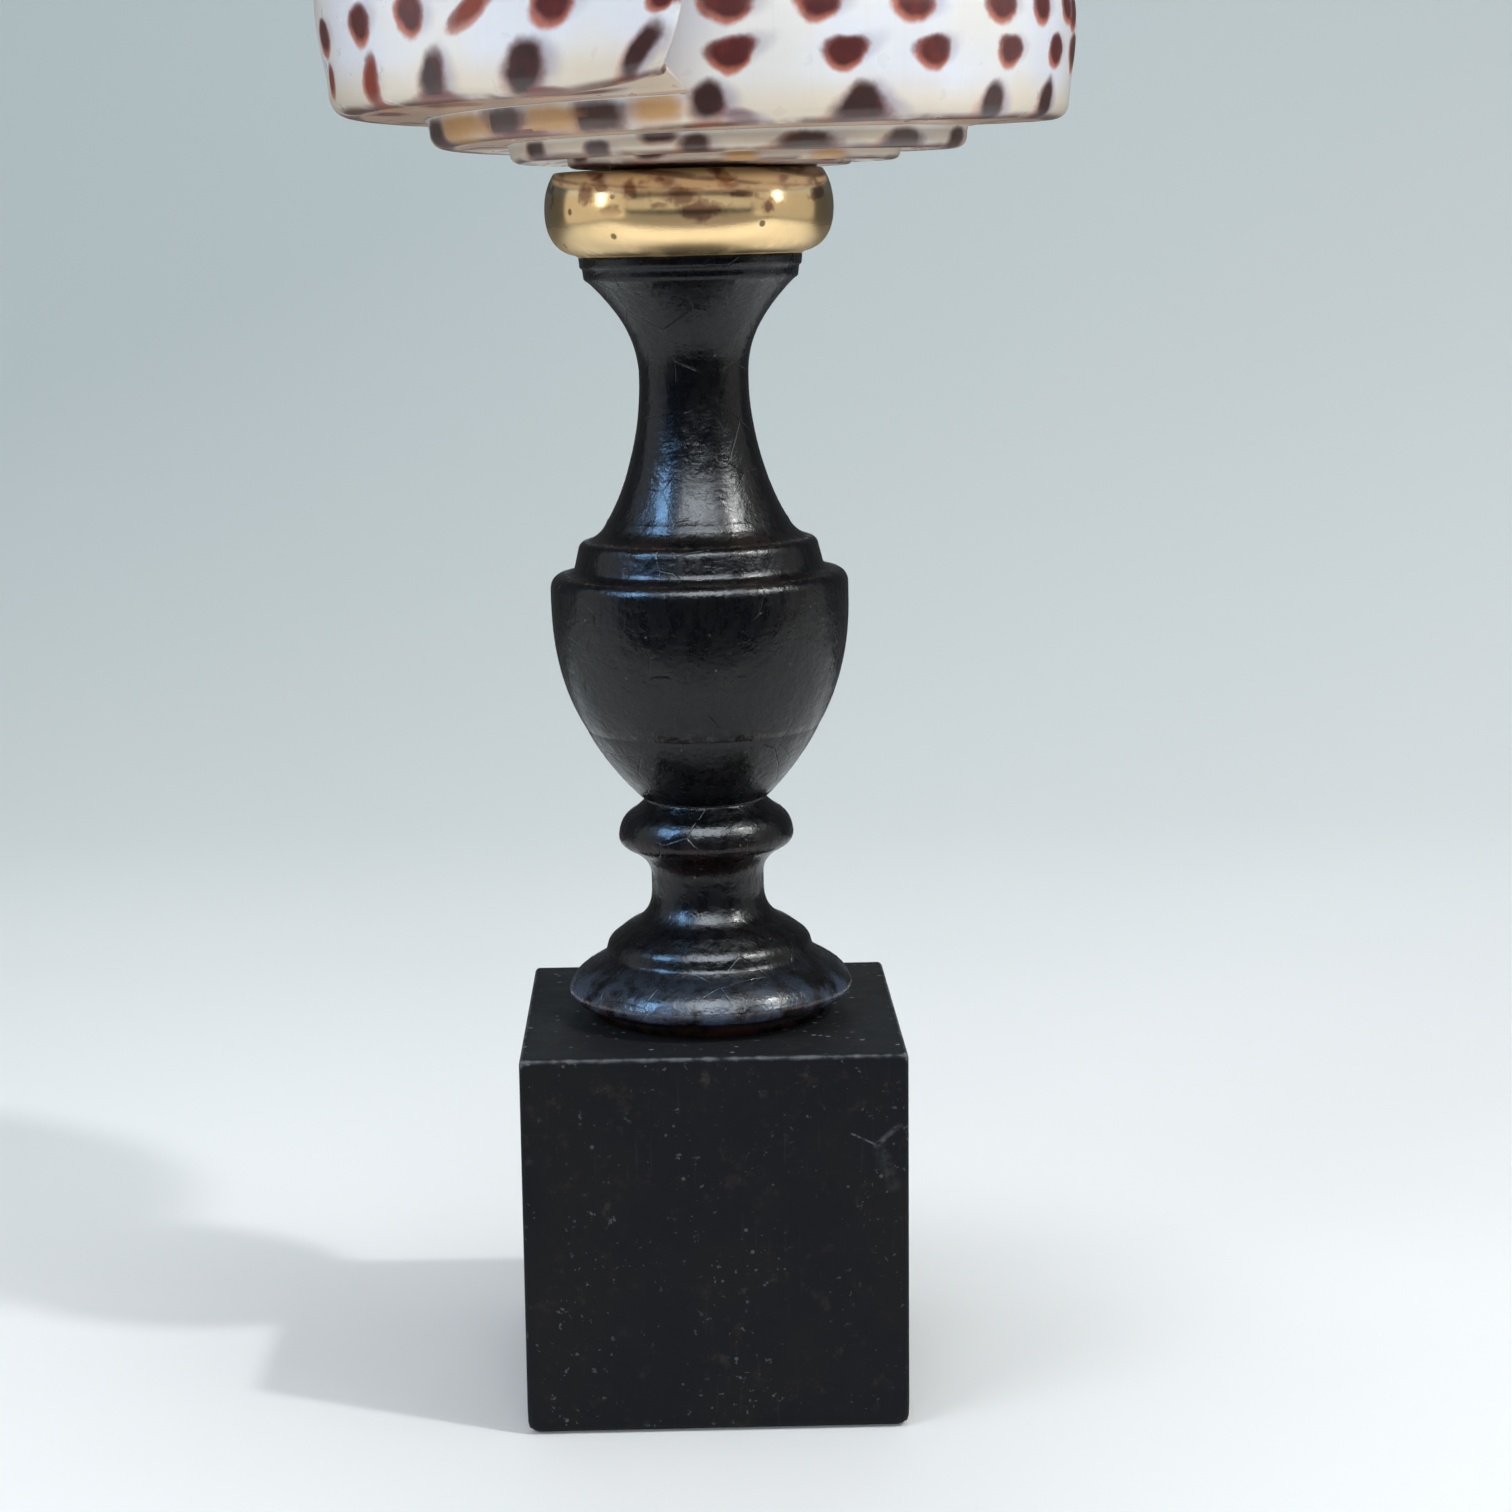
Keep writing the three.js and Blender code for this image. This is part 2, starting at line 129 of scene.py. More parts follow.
@dataclass(frozen=True)
class Wire:
    """An output socket. Arithmetic on it adds math nodes to its tree."""

    tree: bpy.types.NodeTree
    socket: bpy.types.NodeSocket

    def math(self, operation: str, *values: Wire | float, first: Wire | float | None = None) -> Wire:
        """Adds a math node.

        Args:
            operation: The node's operation.
            values: What follows this wire in the node's inputs.
            first: What goes before this wire, for a swapped operation.

        Returns:
            The result.
        """
        node = self.tree.nodes.new("ShaderNodeMath")
        node.operation = operation
        line = (self, *values) if first is None else (first, self)
        for slot, value in zip(node.inputs, line):
            plug(self.tree, slot, value)
        return Wire(self.tree, node.outputs[0])

    def __add__(self, other: Wire | float) -> Wire:
        """Sum."""
        return self.math("ADD", other)

    def __sub__(self, other: Wire | float) -> Wire:
        """Difference."""
        return self.math("SUBTRACT", other)

    def __rsub__(self, other: float) -> Wire:
        """Difference, the other way round."""
        return self.math("SUBTRACT", first=other)

    def __mul__(self, other: Wire | float) -> Wire:
        """Product."""
        return self.math("MULTIPLY", other)

    def __rmul__(self, other: float) -> Wire:
        """Product, the other way round."""
        return self.math("MULTIPLY", other)

    def __truediv__(self, other: Wire | float) -> Wire:
        """Quotient."""
        return self.math("DIVIDE", other)

    def __pow__(self, other: Wire | float) -> Wire:
        """Power."""
        return self.math("POWER", other)

    def least(self, floor: Wire | float) -> Wire:
        """The larger of this and a floor."""
        return self.math("MAXIMUM", floor)

    def most(self, ceiling: Wire | float) -> Wire:
        """The smaller of this and a ceiling."""
        return self.math("MINIMUM", ceiling)

    def squared(self) -> Wire:
        """The square."""
        return self.math("MULTIPLY", self)

    def size(self) -> Wire:
        """The absolute value."""
        return self.math("ABSOLUTE")

    def sine(self) -> Wire:
        """The sine."""
        return self.math("SINE")

    def cosine(self) -> Wire:
        """The cosine."""
        return self.math("COSINE")

    def rise(self, low: float, high: float, smooth: bool = True) -> Wire:
        """Goes from 0 at one value to 1 at another.

        Args:
            low: Where the result is 0. It may be above high.
            high: Where the result is 1.
            smooth: Whether the way between them is eased.

        Returns:
            The share, from 0 to 1.
        """
        node = self.tree.nodes.new("ShaderNodeMapRange")
        node.interpolation_type = "SMOOTHSTEP" if smooth else "LINEAR"
        node.clamp = True
        low, high, start, end = (low, high, 0.0, 1.0) if low < high else (high, low, 1.0, 0.0)
        for name, value in (("Value", self), ("From Min", low), ("From Max", high)):
            plug(self.tree, node.inputs[name], value)
        plug(self.tree, node.inputs["To Min"], start)
        plug(self.tree, node.inputs["To Max"], end)
        return Wire(self.tree, node.outputs["Result"])


def plug(tree: bpy.types.NodeTree, slot: bpy.types.NodeSocket, value: object) -> None:
    """Feeds an input socket with a wire, or sets it to a value.

    Args:
        tree: The tree that holds the socket.
        slot: The input.
        value: A wire, a number or a tuple.
    """
    if isinstance(value, Wire):
        tree.links.new(value.socket, slot)
    elif slot.type == "RGBA" and len(value) == 3:
        slot.default_value = (*value, 1.0)
    else:
        slot.default_value = value


def blend(low: Wire | float, high: Wire | float, share: Wire) -> Wire:
    """Goes from a low value at share 0 to a high one at share 1."""
    return low + (high - low) * share if isinstance(low, Wire) else share * (high - low) + low


def join(tree: bpy.types.NodeTree, *parts: Wire | float) -> Wire:
    """Joins three numbers into a vector.

    Args:
        tree: The tree that holds them.
        parts: The numbers.

    Returns:
        The vector.
    """
    node = tree.nodes.new("ShaderNodeCombineXYZ")
    for slot, value in zip(node.inputs, parts):
        plug(tree, slot, value)
    return Wire(tree, node.outputs[0])


class GeometryGraph:
    """A Geometry Nodes tree with named inputs, and short calls for its nodes."""

    def __init__(self, name: str) -> None:
        """Starts the tree.

        Args:
            name: The tree's name.
        """
        self.tree = bpy.data.node_groups.new(name, "GeometryNodeTree")
        self.tree.interface.new_socket("Geometry", in_out="INPUT", socket_type="NodeSocketGeometry")
        self.tree.interface.new_socket("Geometry", in_out="OUTPUT", socket_type="NodeSocketGeometry")
        self.start = self.tree.nodes.new("NodeGroupInput")
        self.identifiers: dict[str, str] = {}
        self.geometry = self.start.outputs[0]

    def size(self, name: str, default: float) -> Wire:
        """Adds a named number to the tree's inputs.

        Args:
            name: The input's name.
            default: Its default.

        Returns:
            The input's wire.
        """
        item = self.tree.interface.new_socket(name, in_out="INPUT", socket_type="NodeSocketFloat")
        item.default_value = default
        self.identifiers[name] = item.identifier
        return Wire(self.tree, self.start.outputs[name])

    def attribute(self, name: str) -> Wire:
        """Reads a named number of each vertex.

        Args:
            name: The number's name.

        Returns:
            Its wire.
        """
        node = self.tree.nodes.new("GeometryNodeInputNamedAttribute")
        node.data_type = "FLOAT"
        node.inputs["Name"].default_value = name
        return Wire(self.tree, node.outputs["Attribute"])

    def noise(self, place: Wire, scale: float, seed: float) -> Wire:
        """Noise about 0.5.

        Args:
            place: Where it is read.
            scale: How many features fit in one unit.
            seed: Its fixed seed.

        Returns:
            The noise.
        """
        node = self.tree.nodes.new("ShaderNodeTexNoise")
        node.noise_dimensions = "4D"
        plug(self.tree, node.inputs["Vector"], place)
        node.inputs["W"].default_value = seed
        node.inputs["Scale"].default_value = scale
        return Wire(self.tree, node.outputs[0])

    def store(self, name: str, value: Wire) -> None:
        """Keeps a number on each vertex.

        Args:
            name: The name that it is kept under.
            value: The number.
        """
        node = self.tree.nodes.new("GeometryNodeStoreNamedAttribute")
        node.data_type = "FLOAT"
        node.domain = "POINT"
        node.inputs["Name"].default_value = name
        self.tree.links.new(self.geometry, node.inputs["Geometry"])
        plug(self.tree, node.inputs["Value"], value)
        self.geometry = node.outputs["Geometry"]

    def place(self, x: Wire, y: Wire, z: Wire) -> None:
        """Moves each vertex to a place in millimetres.

        Args:
            x: The place across.
            y: The place in depth.
            z: The height.
        """
        node = self.tree.nodes.new("GeometryNodeSetPosition")
        self.tree.links.new(self.geometry, node.inputs["Geometry"])
        plug(self.tree, node.inputs["Position"], join(self.tree, x * MM, y * MM, z * MM))
        self.geometry = node.outputs["Geometry"]

    def finish(self, material: bpy.types.Material) -> None:
        """Ends the tree with shading, Realize Instances and Set Material.

        Args:
            material: The finish that the result wears.
        """
        smooth = self.tree.nodes.new("GeometryNodeSetShadeSmooth")
        realize = self.tree.nodes.new("GeometryNodeRealizeInstances")
        dress = self.tree.nodes.new("GeometryNodeSetMaterial")
        end = self.tree.nodes.new("NodeGroupOutput")
        dress.inputs["Material"].default_value = material
        self.tree.links.new(self.geometry, smooth.inputs[0])
        self.tree.links.new(smooth.outputs[0], realize.inputs[0])
        self.tree.links.new(realize.outputs[0], dress.inputs[0])
        self.tree.links.new(dress.outputs[0], end.inputs[0])


@dataclass(frozen=True, kw_only=True)
class Grain:
    """A noise: the size of its features in millimetres, its finer layers and its stretch."""

    size: float
    detail: float = 3.0
    roughness: float = 0.5
    stretch: Place = (1, 1, 1)


@dataclass(frozen=True, kw_only=True)
class Patches(Grain):
    """A noise cut to patches: the values where a patch starts and where it is full."""

    start: float
    full: float


@dataclass(frozen=True, kw_only=True)
class Relief(Grain):
    """A noise that raises the surface, to a depth in millimetres."""

    depth: float


@dataclass(frozen=True, kw_only=True)
class Scatter:
    """Dots or cracks: their spacing in millimetres, and in spacings where they start and are full."""

    spacing: float
    start: float
    full: float
    kind: Cells = Cells.DOTS
    stretch: Place = (1, 1, 1)


class Paint:
    """A material's node tree, with the colour and relief that have been laid so far."""

    def __init__(self, name: str, colour: Colour) -> None:
        """Starts the material.

        Args:
            name: The material's name.
            colour: Its colour under all others.
        """
        self.colour: Wire | Colour = colour
        self.normal: Wire | None = None
        self.material = bpy.data.materials.new(name)
        self.material.use_nodes = True
        self.tree = self.material.node_tree
        self.tree.nodes.clear()
        coordinates = self.tree.nodes.new("ShaderNodeTexCoord")
        self.place = Wire(self.tree, coordinates.outputs["Object"])
        self.across, self.deep, self.height = self.split(self.place)

    def node(self, kind: str, **inputs: object) -> Wire:
        """Adds a node and feeds its inputs.

        Args:
            kind: The node's type.
            inputs: Input names, with underscores for spaces, and what feeds them.

        Returns:
            Its first output.
        """
        node = self.tree.nodes.new(kind)
        for name, value in inputs.items():
            plug(self.tree, node.inputs[name.replace("_", " ")], value)
        return Wire(self.tree, node.outputs[0])

    def read(self, name: str, output: str) -> Wire:
        """Reads what the surface carries under a name.

        Args:
            name: The name.
            output: Fac for a number, Vector or Color.

        Returns:
            Its wire.
        """
        node = self.tree.nodes.new("ShaderNodeAttribute")
        node.attribute_name = name
        return Wire(self.tree, node.outputs[output])

    def number(self, name: str) -> Wire:
        """Reads a named number of the surface."""
        return self.read(name, "Fac")

    def triple(self, name: str) -> tuple[Wire, Wire, Wire]:
        """Reads a named vector of the surface, as its three numbers."""
        return self.split(self.read(name, "Vector"))

    def tint(self, name: str) -> Wire:
        """Reads a named colour of the surface."""
        return self.read(name, "Color")

    def split(self, vector: Wire) -> tuple[Wire, Wire, Wire]:
        """Splits a vector into three numbers."""
        node = self.node("ShaderNodeSeparateXYZ", Vector=vector).socket.node
        return tuple(Wire(self.tree, socket) for socket in node.outputs)

    def level(self, heights: Span) -> Wire:
        """The share of the way up between two heights, in millimetres."""
        return self.height.rise(heights[0] * MM, heights[1] * MM)

    def mapped(self, feature: float, stretch: Place, place: Wire | None = None) -> Wire:
        """Scales a place, or the object's own coordinates, so that a feature is one unit."""
        scale = tuple(1 / (feature * MM) * share for share in stretch)
        return self.node("ShaderNodeMapping", Vector=place or self.place, Scale=scale)

    def noise(self, grain: Grain, place: Wire | None = None) -> Wire:
        """Noise about 0.5, at a place or at the object's own coordinates."""
        return self.node("ShaderNodeTexNoise", Vector=self.mapped(grain.size, grain.stretch, place),
                         Scale=1.0, Detail=grain.detail, Roughness=grain.roughness)

    def patches(self, patches: Patches) -> Wire:
        """The share of some patches at each place."""
        return self.noise(patches).rise(patches.start, patches.full)

    def scatter(self, dots: Scatter) -> Wire:
        """Scatters dots or cracks.

        Args:
            dots: Their spacing, kind and edge.

        Returns:
            Their share at each place.
        """
        node = self.tree.nodes.new("ShaderNodeTexVoronoi")
        node.feature = dots.kind.value
        node.inputs["Scale"].default_value = 1.0
        plug(self.tree, node.inputs["Vector"], self.mapped(dots.spacing, dots.stretch))
        return Wire(self.tree, node.outputs["Distance"]).rise(dots.start, dots.full)

    def lay(self, colour: Wire | Colour, share: Wire) -> None:
        """Lays a colour over those before it, by a share."""
        self.colour = self.mix(self.colour, colour, share)

    def carve(self, *reliefs: Relief) -> None:
        """Raises the surface by noises, one over another."""
        for relief in reliefs:
            self.bump(self.noise(relief), relief.depth)

    def mix(self, first: Wire | Colour, second: Wire | Colour, share: Wire | float) -> Wire:
        """Mixes two colours.

        Args:
            first: The colour at share 0.
            second: The colour at share 1.
            share: The share.

        Returns:
            The mixed colour.
        """
        node = self.tree.nodes.new("ShaderNodeMix")
        node.data_type = "RGBA"
        plug(self.tree, node.inputs[0], share)
        for slot, value in ((node.inputs[6], first), (node.inputs[7], second)):
            plug(self.tree, slot, value)
        return Wire(self.tree, node.outputs[2])

    def bump(self, height: Wire, depth: float) -> None:
        """Raises the surface over what has raised it before.

        Args:
            height: The height, 0 to 1.
            depth: What 1 stands for, in millimetres.
        """
        under = {} if self.normal is None else {"Normal": self.normal}
        self.normal = self.node("ShaderNodeBump", Height=height, Strength=1.0,
                                Distance=depth * MM, **under)

    def shine(self, **inputs: object) -> bpy.types.Material:
        """Ends the material with one shader, which wears the colour and the relief.

        Args:
            inputs: The shader's other inputs, with underscores for spaces.

        Returns:
            The material.
        """
        if self.normal is not None:
            inputs["Normal"] = self.normal
        surface = self.node("ShaderNodeBsdfPrincipled", Base_Color=self.colour, **inputs)
        end = self.tree.nodes.new("ShaderNodeOutputMaterial")
        self.tree.links.new(surface.socket, end.inputs["Surface"])
        return self.material


# Meshes laid out as sheets of named vertices


class Sheet:
    """Vertices found by key, the numbers they carry, and the faces between them."""

    def __init__(self, numbers: Sequence[str]) -> None:
        """Starts an empty sheet.

        Args:
            numbers: The names of the numbers that each vertex carries.
        """
        self.numbers = tuple(numbers)
        self.keys: dict[tuple, int] = {}
        self.values: list[tuple[float, ...]] = []
        self.faces: list[tuple[int, ...]] = []

    def vertex(self, key: tuple, **values: float) -> int:
        """Finds a vertex by its key, or adds it.

        Args:
            key: The vertex's name.
            values: Its numbers; those left out are 0.

        Returns:
            The vertex's index.
        """
        if key not in self.keys:
            self.keys[key] = len(self.values)
            self.values.append(tuple(values.get(name, 0.0) for name in self.numbers))
        return self.keys[key]

    def face(self, *corners: int) -> None:
        """Adds a face.

        Args:
            corners: Its vertices in order. Neighbours that are the same vertex count as one.
        """
        ring = [corner for i, corner in enumerate(corners) if corner != corners[i - 1]]
        if len(set(ring)) > 2:
            self.faces.append(tuple(ring))

    def grid(self, lines: Sequence[Sequence[int]]) -> None:
        """Fills the faces between neighbouring lines.

        Args:
            lines: The lines, with the same number of vertices in each.
        """
        for first, second in zip(lines, lines[1:]):
            for a, b, c, d in zip(first, first[1:], second[1:], second):
                self.face(a, b, c, d)

    def zip_up(self, first: Sequence[int], second: Sequence[int]) -> None:
        """Fills the strip between two lines that may have different numbers of vertices.

        Args:
            first: One line.
            second: The other, which runs the same way.
        """
        i = j = 0
        while i < len(first) - 1 or j < len(second) - 1:
            ahead_i = (i + 1) / (len(first) - 1) if i < len(first) - 1 else 2
            ahead_j = (j + 1) / (len(second) - 1) if j < len(second) - 1 else 2
            if ahead_i <= ahead_j:
                self.face(first[i], first[i + 1], second[j])
                i += 1
            else:
                self.face(first[i], second[j + 1], second[j])
                j += 1

    def to_object(self, name: str) -> bpy.types.Object:
        """Makes an object of the sheet, laid out flat until its tree places it.

        Args:
            name: The object's name.

        Returns:
            The object.
        """
        mesh = bpy.data.meshes.new(name)
        flat = [(i * MM, 0.0, 0.0) for i in range(len(self.values))]
        mesh.from_pydata(flat, [], self.faces)
        table = np.array(self.values, np.float32)
        for column, number in enumerate(self.numbers):
            layer = mesh.attributes.new(number, "FLOAT", "POINT")
            layer.data.foreach_set("value", np.ascontiguousarray(table[:, column]))
        piece = bpy.data.objects.new(name, mesh)
        bpy.context.scene.collection.objects.link(piece)
        return piece


def grow(piece: bpy.types.Object, graph: GeometryGraph, sizes: dict[str, float]) -> bpy.types.Object:
    """Runs a Geometry Nodes tree on a sheet and keeps the result as a plain mesh.

    Args:
        piece: The sheet's object.
        graph: The tree.
        sizes: The tree's named inputs.

    Returns:
        The object, with its new mesh and no modifier.
    """
    modifier = piece.modifiers.new("grow", "NODES")
    modifier.node_group = graph.tree
    for name, value in sizes.items():
        modifier[graph.identifiers[name]] = float(value)
    evaluated = piece.evaluated_get(bpy.context.evaluated_depsgraph_get())
    mesh = bpy.data.meshes.new_from_object(evaluated)
    piece.modifiers.remove(modifier)
    old, piece.data = piece.data, mesh
    bpy.data.meshes.remove(old)
    mesh.name = piece.name
    face_outwards(mesh)
    return piece


def face_outwards(mesh: bpy.types.Mesh) -> None:
    """Makes a closed mesh's faces agree and point outwards.

    Args:
        mesh: The mesh.
    """
    work = bmesh.new()
    work.from_mesh(mesh)
    bmesh.ops.recalc_face_normals(work, faces=work.faces)
    if work.calc_volume(signed=True) < 0:
        bmesh.ops.reverse_faces(work, faces=work.faces)
    open_edges = sum(1 for edge in work.edges if not edge.is_manifold)
    work.to_mesh(mesh)
    work.free()
    LOG.info("%s: %d open or doubled edges", mesh.name, open_edges)


def number_layer(mesh: bpy.types.Mesh, name: str) -> np.ndarray:
    """Reads a vertex number.

    Args:
        mesh: The mesh.
        name: The number's name.

    Returns:
        The number of each vertex.
    """
    layer = mesh.attributes[name]
    values = np.zeros(len(mesh.vertices), np.float32)
    layer.data.foreach_get("value", values)
    return values


def settle(piece: bpy.types.Object, part: Part, slot: Slot, material: bpy.types.Material) -> None:
    """Hands a finished piece to the frame.

    Args:
        piece: The piece.
        part: The solid that it stands for.
        slot: Not used.
        material: Its finish.
    """
    if material.name not in [m.name for m in piece.data.materials if m]:
        piece.data.materials.clear()
        piece.data.materials.append(material)
    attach(piece, "root")
    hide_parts(part.value)
    LOG.info("%s: %d faces", piece.name, len(piece.data.polygons))


@dataclass(frozen=True)
class Lean:
    """The small lean of stem, collar and shell about the middle of the plinth's top."""

    degrees: float = 0.77
    pivot: float = 40.5

    def tilt(self, x: Wire, z: Wire) -> tuple[Wire, Wire]:
        """Leans a place given by wires.

        Args:
            x: Place across, in millimetres.
            z: Height along the upright axis, in millimetres.

        Returns:
            The leaned place across and height.
        """
        cosine, sine = math.cos(math.radians(self.degrees)), math.sin(math.radians(self.degrees))
        up = z - self.pivot
        return x * cosine - up * sine, x * sine + up * cosine + self.pivot


# Finishes


@dataclass(frozen=True)
class MarkShape:
    """A copy of a mark's outline, moved and made larger, in the mark's own half sizes."""

    along: float = 0.0
    up: float = 0.0
    squeeze: float = 1.0
    flatten: float = 1.0

    def far(self, p: Wire | np.ndarray, q: Wire | np.ndarray) -> Wire | np.ndarray:
        """Measures how far places are from the shape's middle.

        Args:
            p: Places along the mark.
            q: Places up the mark.

        Returns:
            The squared distance, 1 at the shape's edge.
        """
        across = (p + self.along) * self.squeeze
        high = (q + self.up) * self.flatten
        return across * across + high * high


CORE = MarkShape()
FRINGE = MarkShape(along=0.13, up=0.15, squeeze=0.87, flatten=0.85)
SMEAR = MarkShape(along=-0.45, up=-0.05, squeeze=0.66, flatten=0.85)


@dataclass(frozen=True)
class ShellFinish:
    """Glossy shell: cool white, creamy at the shoulder, tan partly as painted shade on the ramp under it,
    with soft plum and brown marks.

    A span holds the value where a share is 0 and the one where it is 1. Spans called rise are
    heights above the shoulder, in millimetres.
    """

    white: Colour = srgb(239, 242, 250)
    warm_white: Colour = srgb(242, 240, 236)
    cream: Colour = srgb(232, 214, 186)
    ridge_tan: Colour = srgb(204, 164, 132)
    ridge_brown: Colour = srgb(112, 72, 60)
    orange: Colour = srgb(190, 84, 36)
    red_brown: Colour = srgb(132, 52, 42)
    lavender: Colour = srgb(166, 158, 176)
    porcelain: Colour = srgb(240, 234, 228)
    cloud: Grain = Grain(size=14, detail=2)
    warm_span: Span = (0.38, 0.62)
    drift: Grain = Grain(size=9)
    drift_reach: float = 4.0
    cream_rise: Span = (5.0, 0.5)
    cream_share: float = 0.75
    tan_rise: Span = (0.6, -1.2)
    tan_drift: float = 0.3
    tan_base: float = 0.62
    tan_cloud: float = 0.4
    lip_turns: Span = (-0.070, -0.030)
    lip_paling: float = 0.8
    edge_drop: float = 0.1
    edge_drift: float = 0.2
    edge_rise: Span = (0.8, 0.1)
    edge_breaks: Patches = Patches(size=6, start=0.32, full=0.50)
    seam_ramp: Span = (0.13, 0.0)
    seam_breaks: Patches = Patches(size=4, start=0.3, full=0.6, detail=2)
    seam_share: float = 0.7
    inside_inset: Span = (0.15, 0.75)
    inside_rise: Span = (1.0, 3.0)
    inside_cloud: Span = (0.5, 0.75)
    inside_cream: float = 0.35
    growth: Grain = Grain(size=0.55, detail=4, roughness=0.6)
    growth_wander: Grain = Grain(size=18, detail=1)
    growth_wander_reach: float = 0.8
    growth_radius: float = 40.0
    growth_change: float = 0.02
    growth_span: Span = (0.52, 0.75)
    growth_share: float = 0.14
    growth_depth: float = 0.018
    thread_gap: float = 1.15
    thread_depth: float = 0.006
    swells: Relief = Relief(size=5, depth=0.10, detail=2)
    roughness: float = 0.24
    uneven_gloss: Grain = Grain(size=3)
    uneven_gloss_share: float = 0.10
    mark_dulling: float = 0.04

    def material(self) -> bpy.types.Material:
        """Builds the finish.

        Returns:
            The material, which reads the shell's own numbers: turn, rise and the marks.
        """
        paint = Paint("shell_gloss", self.white)
        rise, cloud = paint.number("rise"), paint.noise(self.cloud)
        self.ground(paint, cloud, rise)
        growth = self.growth_lines(paint, rise)
        paint.lay(self.cream, growth.rise(*self.growth_span) * self.growth_share)
        waver = self.waver(paint)
        self.marks(paint, "b", waver)
        core = self.marks(paint, "a", waver)
        inside = paint.number("inset").rise(*self.inside_inset) * rise.rise(*self.inside_rise)
        creamy = cloud.rise(*self.inside_cloud) * self.inside_cream
        paint.lay(paint.mix(self.porcelain, self.cream, creamy), inside)
        paint.carve(self.swells)
        paint.bump(growth, self.growth_depth)
        paint.bump((rise * (TAU / self.thread_gap)).sine() * 0.5 + 0.5, self.thread_depth)
        rough = paint.noise(self.uneven_gloss) * self.uneven_gloss_share + self.roughness
        return paint.shine(Roughness=rough + core * self.mark_dulling, IOR=1.53, Coat_Weight=0.2,
                           Coat_Roughness=0.18, Subsurface_Weight=0.12,
                           Subsurface_Radius=(1.0, 0.75, 0.6), Subsurface_Scale=1.2 * MM)

    def ground(self, paint: Paint, cloud: Wire, rise: Wire) -> None:
        """Colours the shell under its marks, down to the tan edge, partly painted shade where the ramp
        faces down, and the brown seam.

        Args:
            paint: The material.
            cloud: The broad clouding.
            rise: The height above the shoulder.
        """
        paint.lay(self.warm_white, cloud.rise(*self.warm_span))
        drift = (paint.noise(self.drift) - 0.5) * self.drift_reach
        paint.lay(self.cream, (rise + drift).rise(*self.cream_rise) * self.cream_share)
        # Tan under the shoulder, where the ramp faces down: partly the shell's tan, partly painted shade.
        under = (rise + drift * self.tan_drift).rise(*self.tan_rise)
        under = under * (1 - paint.number("turn").rise(*self.lip_turns) * self.lip_paling)
        paint.lay(self.ridge_tan, under * (cloud * self.tan_cloud + self.tan_base))
        edge = (rise + self.edge_drop + drift * self.edge_drift).size().rise(*self.edge_rise)
        paint.lay(self.ridge_brown, edge * paint.patches(self.edge_breaks))
        seam = paint.number("ramp").rise(*self.seam_ramp) * paint.patches(self.seam_breaks)
        paint.lay(self.ridge_brown, seam * self.seam_share)

    def growth_lines(self, paint: Paint, rise: Wire) -> Wire:
        """Draws fine lines of growth, which cross the coil from shoulder to tip.

        Args:
            paint: The material.
            rise: The height above the shoulder.

        Returns:
            The lines' height, about 0.5.
        """
        across = paint.number("turn") * (TAU * self.growth_radius * MM)
        wander = paint.noise(self.growth_wander) * (self.growth_wander_reach * MM)
        place = join(paint.tree, across + wander, rise * (self.growth_change * MM), 0.0)
        return paint.noise(self.growth, place)

    @staticmethod
    def waver(paint: Paint) -> dict[str, Wire]:
        """Makes the noises that both ranks of marks share.

        Args:
            paint: The material.

        Returns:
            The noises, by what they unsettle.
        """
        return {
            "along": paint.noise(Grain(size=2.6, roughness=0.55)) - 0.5,
            "up": paint.noise(Grain(size=3.1, roughness=0.55, stretch=(1, 1, 0.8))) - 0.5,
            "smear": (paint.noise(Grain(size=2.6)) + 0.4).most(1.0),
            "warm": paint.noise(Grain(size=2.2)),
            "streaks": paint.patches(Patches(size=1.5, start=0.42, full=0.7, stretch=(1.2, 1.2, 0.8))),
        }

    def marks(self, paint: Paint, rank: str, waver: dict[str, Wire]) -> Wire:
        """Lays one rank of marks.

        Args:
            paint: The material.
            rank: Which of each place's nearest marks to lay.
            waver: The shared noises.

        Returns:
            How far each place is inside a mark.
        """
        along, up, _ = paint.triple("place_" + rank)
        wide_top, square, soft = paint.triple("form_" + rank)
        fringe, smear, strength = paint.triple("tint_" + rank)
        core_colour = paint.tint("core_" + rank)
        p = along * (1 - (wide_top * up.least(-1.2).most(1.2))) + waver["along"] * 0.8
        q = up + waver["up"] * 0.65
        round_far = CORE.far(p, q) ** 0.5
        square_far = ((p * 0.95) ** 2 * p.squared() + (q * 0.95) ** 2 * q.squared()) ** 0.25
        far = blend(round_far, square_far, square)
        core = ((1.06 - far) / (soft * 0.7 + 0.15)).rise(-0.35, 0.75) * strength
        halo = (1.08 - FRINGE.far(p, q) ** 0.5).rise(-0.12, 0.24) * fringe
        smudge = (1.15 - SMEAR.far(p, q) ** 0.5).rise(0.0, 0.7) * smear * waver["smear"]
        paint.lay(self.lavender, smudge)
        warm = paint.mix(self.orange, self.red_brown, (waver["warm"] + q * 0.2).rise(0.35, 0.65))
        paint.lay(warm, halo)
        body = paint.mix(core_colour, self.red_brown, waver["streaks"] * fringe * 0.45)
        body = paint.mix(body, self.lavender, (p * 0.3).rise(0.12, 0.5) * 0.2)
        paint.lay(body, core)
        return core


@dataclass(frozen=True)
class ReflectedSpot:
    """A painted reflection of a shell mark, as a brown blot on the ring's front: its place across, height
    and half sizes, and how strong.
    """

    across: float
    height: float
    half_width: float
    half_height: float
    strength: float


